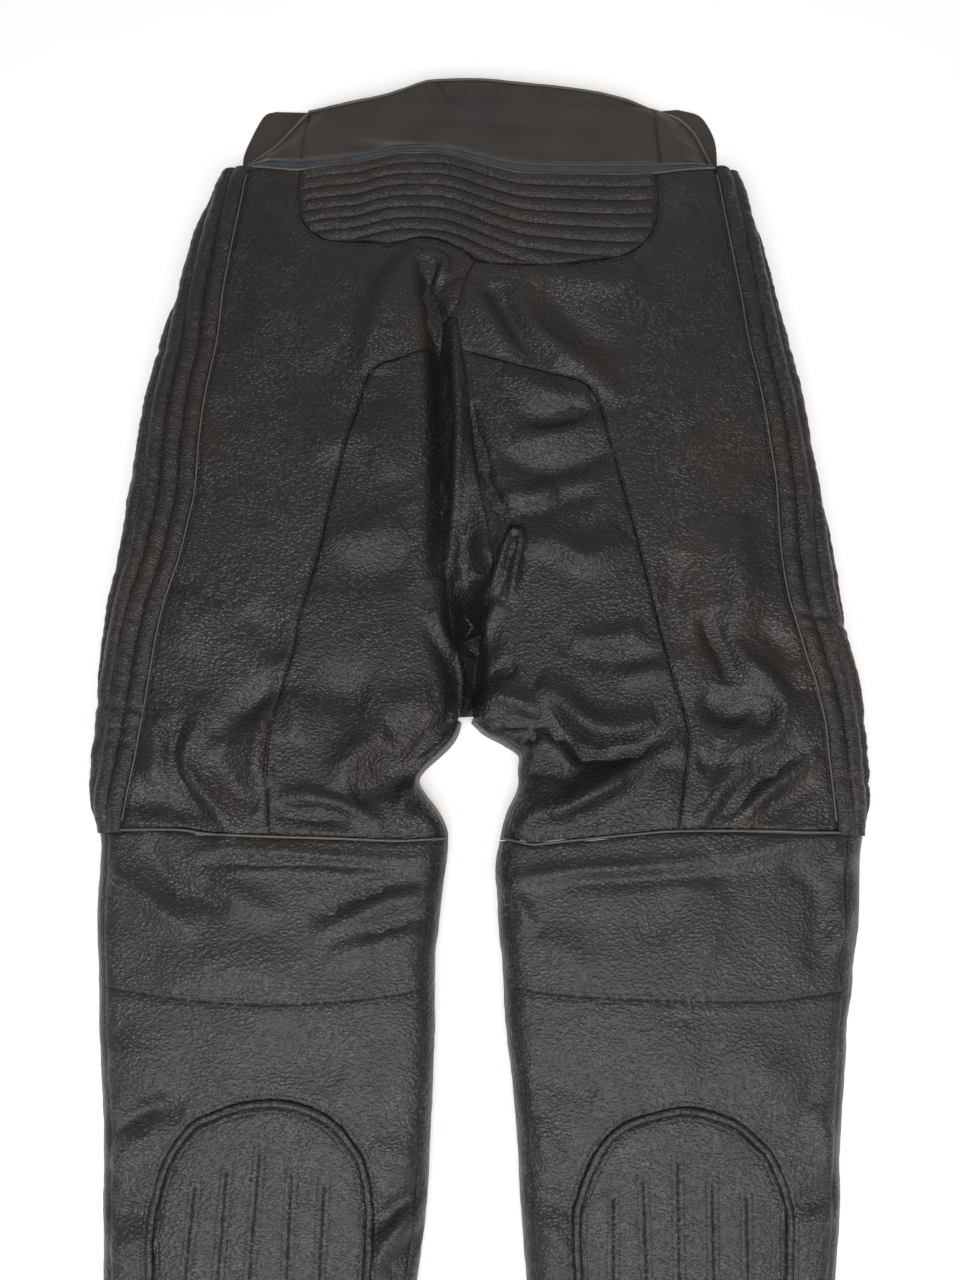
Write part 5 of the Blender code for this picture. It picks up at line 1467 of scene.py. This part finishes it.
def build_front():
    """The side quilts, the inner thighs' strips, and the thighs' flat front panels with the fly."""
    under = {-1: quilt("side_quilt_left_leather", -1), 1: quilt("side_quilt_right_leather", 1)}
    made = []
    for word, side in (("left", -1), ("right", 1)):
        rolled, line, inward = inner_strip("inner_thigh_" + word + "_leather", side)
        inner = line + inward * UNDER_WRAP
        fly = FRONT_CENTRE + side * FLY_SIDE
        centre = [(FRONT_CENTRE, CROTCH + 16), (FRONT_CENTRE, FLY_BOTTOM), (fly, FLY_BOTTOM), (fly, WAIST)]
        thigh = flat_panel("front_thigh_" + word + "_leather", join(under[side], inner[::-1], centre), hide)
        stand_for(thigh, "leather", "front_thigh_" + word)
        made.append(thigh)
    left, right = FRONT_CENTRE - FLY_SIDE, FRONT_CENTRE + FLY_SIDE
    fly = flat_panel("fly_placket_leather", join([(left, FLY_BOTTOM), (right, FLY_BOTTOM), (right, WAIST),
                                                  (left, WAIST)]), hide, step=5.0)
    stand_for(fly, "leather", "fly_placket")
    return made


LEGS = [("left", -1, MID_LEFT, KNEE_LEFT, ARCH_LEFT, TUCKS_LEFT),
        ("right", 1, MID_RIGHT, KNEE_RIGHT, ARCH_RIGHT, TUCKS_RIGHT)]
front_panels = build_front()
build_waist()
build_back()
for word, side, mid, knee, arch, tucks in LEGS:
    outer_end, inner_end = build_lower_leg(word, side, mid, knee, arch, tucks)
    wrapped = front_leg("front_leg_" + word + "_leather", side, outer_end[1] - 0.4, inner_end[1] + 1.0)


def area_light(name, place, target, size, radiance, colour):
    """A soft rectangular light that gives the stated radiance."""
    lamp = bpy.data.lights.new(name, "AREA")
    lamp.color = colour
    lamp.shape = "RECTANGLE"
    lamp.size, lamp.size_y = size
    lamp.energy = radiance * pi * size[0] * size[1]
    thing = bpy.data.objects.new(name, lamp)
    thing.location = place
    thing.rotation_euler = (Vector(target) - Vector(place)).to_track_quat("-Z", "Y").to_euler()
    bpy.context.scene.collection.objects.link(thing)


FLOOR_REACH = 5
FLOOR_LEVEL = -0.0003
CAMERA_PLACE = (0.0, -0.098, 0.9697)
CAMERA_TILT = 11.0


def build_studio():
    """The pale floor, the soft lights and the camera."""
    mesh = bpy.data.meshes.new("floor")
    square = ((-1, -1), (1, -1), (1, 1), (-1, 1))
    corners = [(x * FLOOR_REACH, y * FLOOR_REACH, FLOOR_LEVEL) for x, y in square]
    mesh.from_pydata(corners, [], [(0, 1, 2, 3)])
    floor = bpy.data.objects.new("floor", mesh)
    material, tree, shader, place = new_material("floor_paint")
    mottle = clouds(tree, place, 3.0)
    tree.links.new(ramp(tree, mottle, [(0.3, (0.90, 0.90, 0.90)), (0.7, (0.92, 0.92, 0.92))]),
                   shader.inputs["Base Color"])
    shader.inputs["Roughness"].default_value = 0.9
    shader.inputs["Emission Color"].default_value = (1.0, 1.0, 1.0, 1.0)
    shader.inputs["Emission Strength"].default_value = 0.35
    mesh.materials.append(material)
    bpy.context.scene.collection.objects.link(floor)

    world = bpy.data.worlds.new("studio")
    world.use_nodes = True
    world.node_tree.nodes["Background"].inputs["Color"].default_value = (1.0, 1.0, 1.0, 1.0)
    world.node_tree.nodes["Background"].inputs["Strength"].default_value = 0.22
    bpy.context.scene.world = world
    area_light("cool_key", (-0.62, -1.0, 1.7), (-0.1, -0.35, 0.0), (1.1, 1.7), 4.2, (0.90, 0.96, 1.0))
    area_light("warm_key", (0.68, -0.95, 1.6), (0.1, -0.3, 0.0), (1.0, 1.5), 4.0, (1.0, 0.90, 0.84))
    area_light("rim", (0.2, 1.7, 1.2), (0.0, 0.1, 0.0), (1.4, 0.4), 1.5, (1.0, 0.97, 0.94))

    camera = bpy.data.cameras.new("camera")
    camera.lens = 35.0
    camera.sensor_width = 36.0
    thing = bpy.data.objects.new("camera", camera)
    thing.location = CAMERA_PLACE
    thing.rotation_euler = (radians(CAMERA_TILT), 0.0, 0.0)
    bpy.context.scene.collection.objects.link(thing)
    bpy.context.scene.camera = thing
    bpy.context.scene.view_settings.view_transform = "Standard"


build_studio()
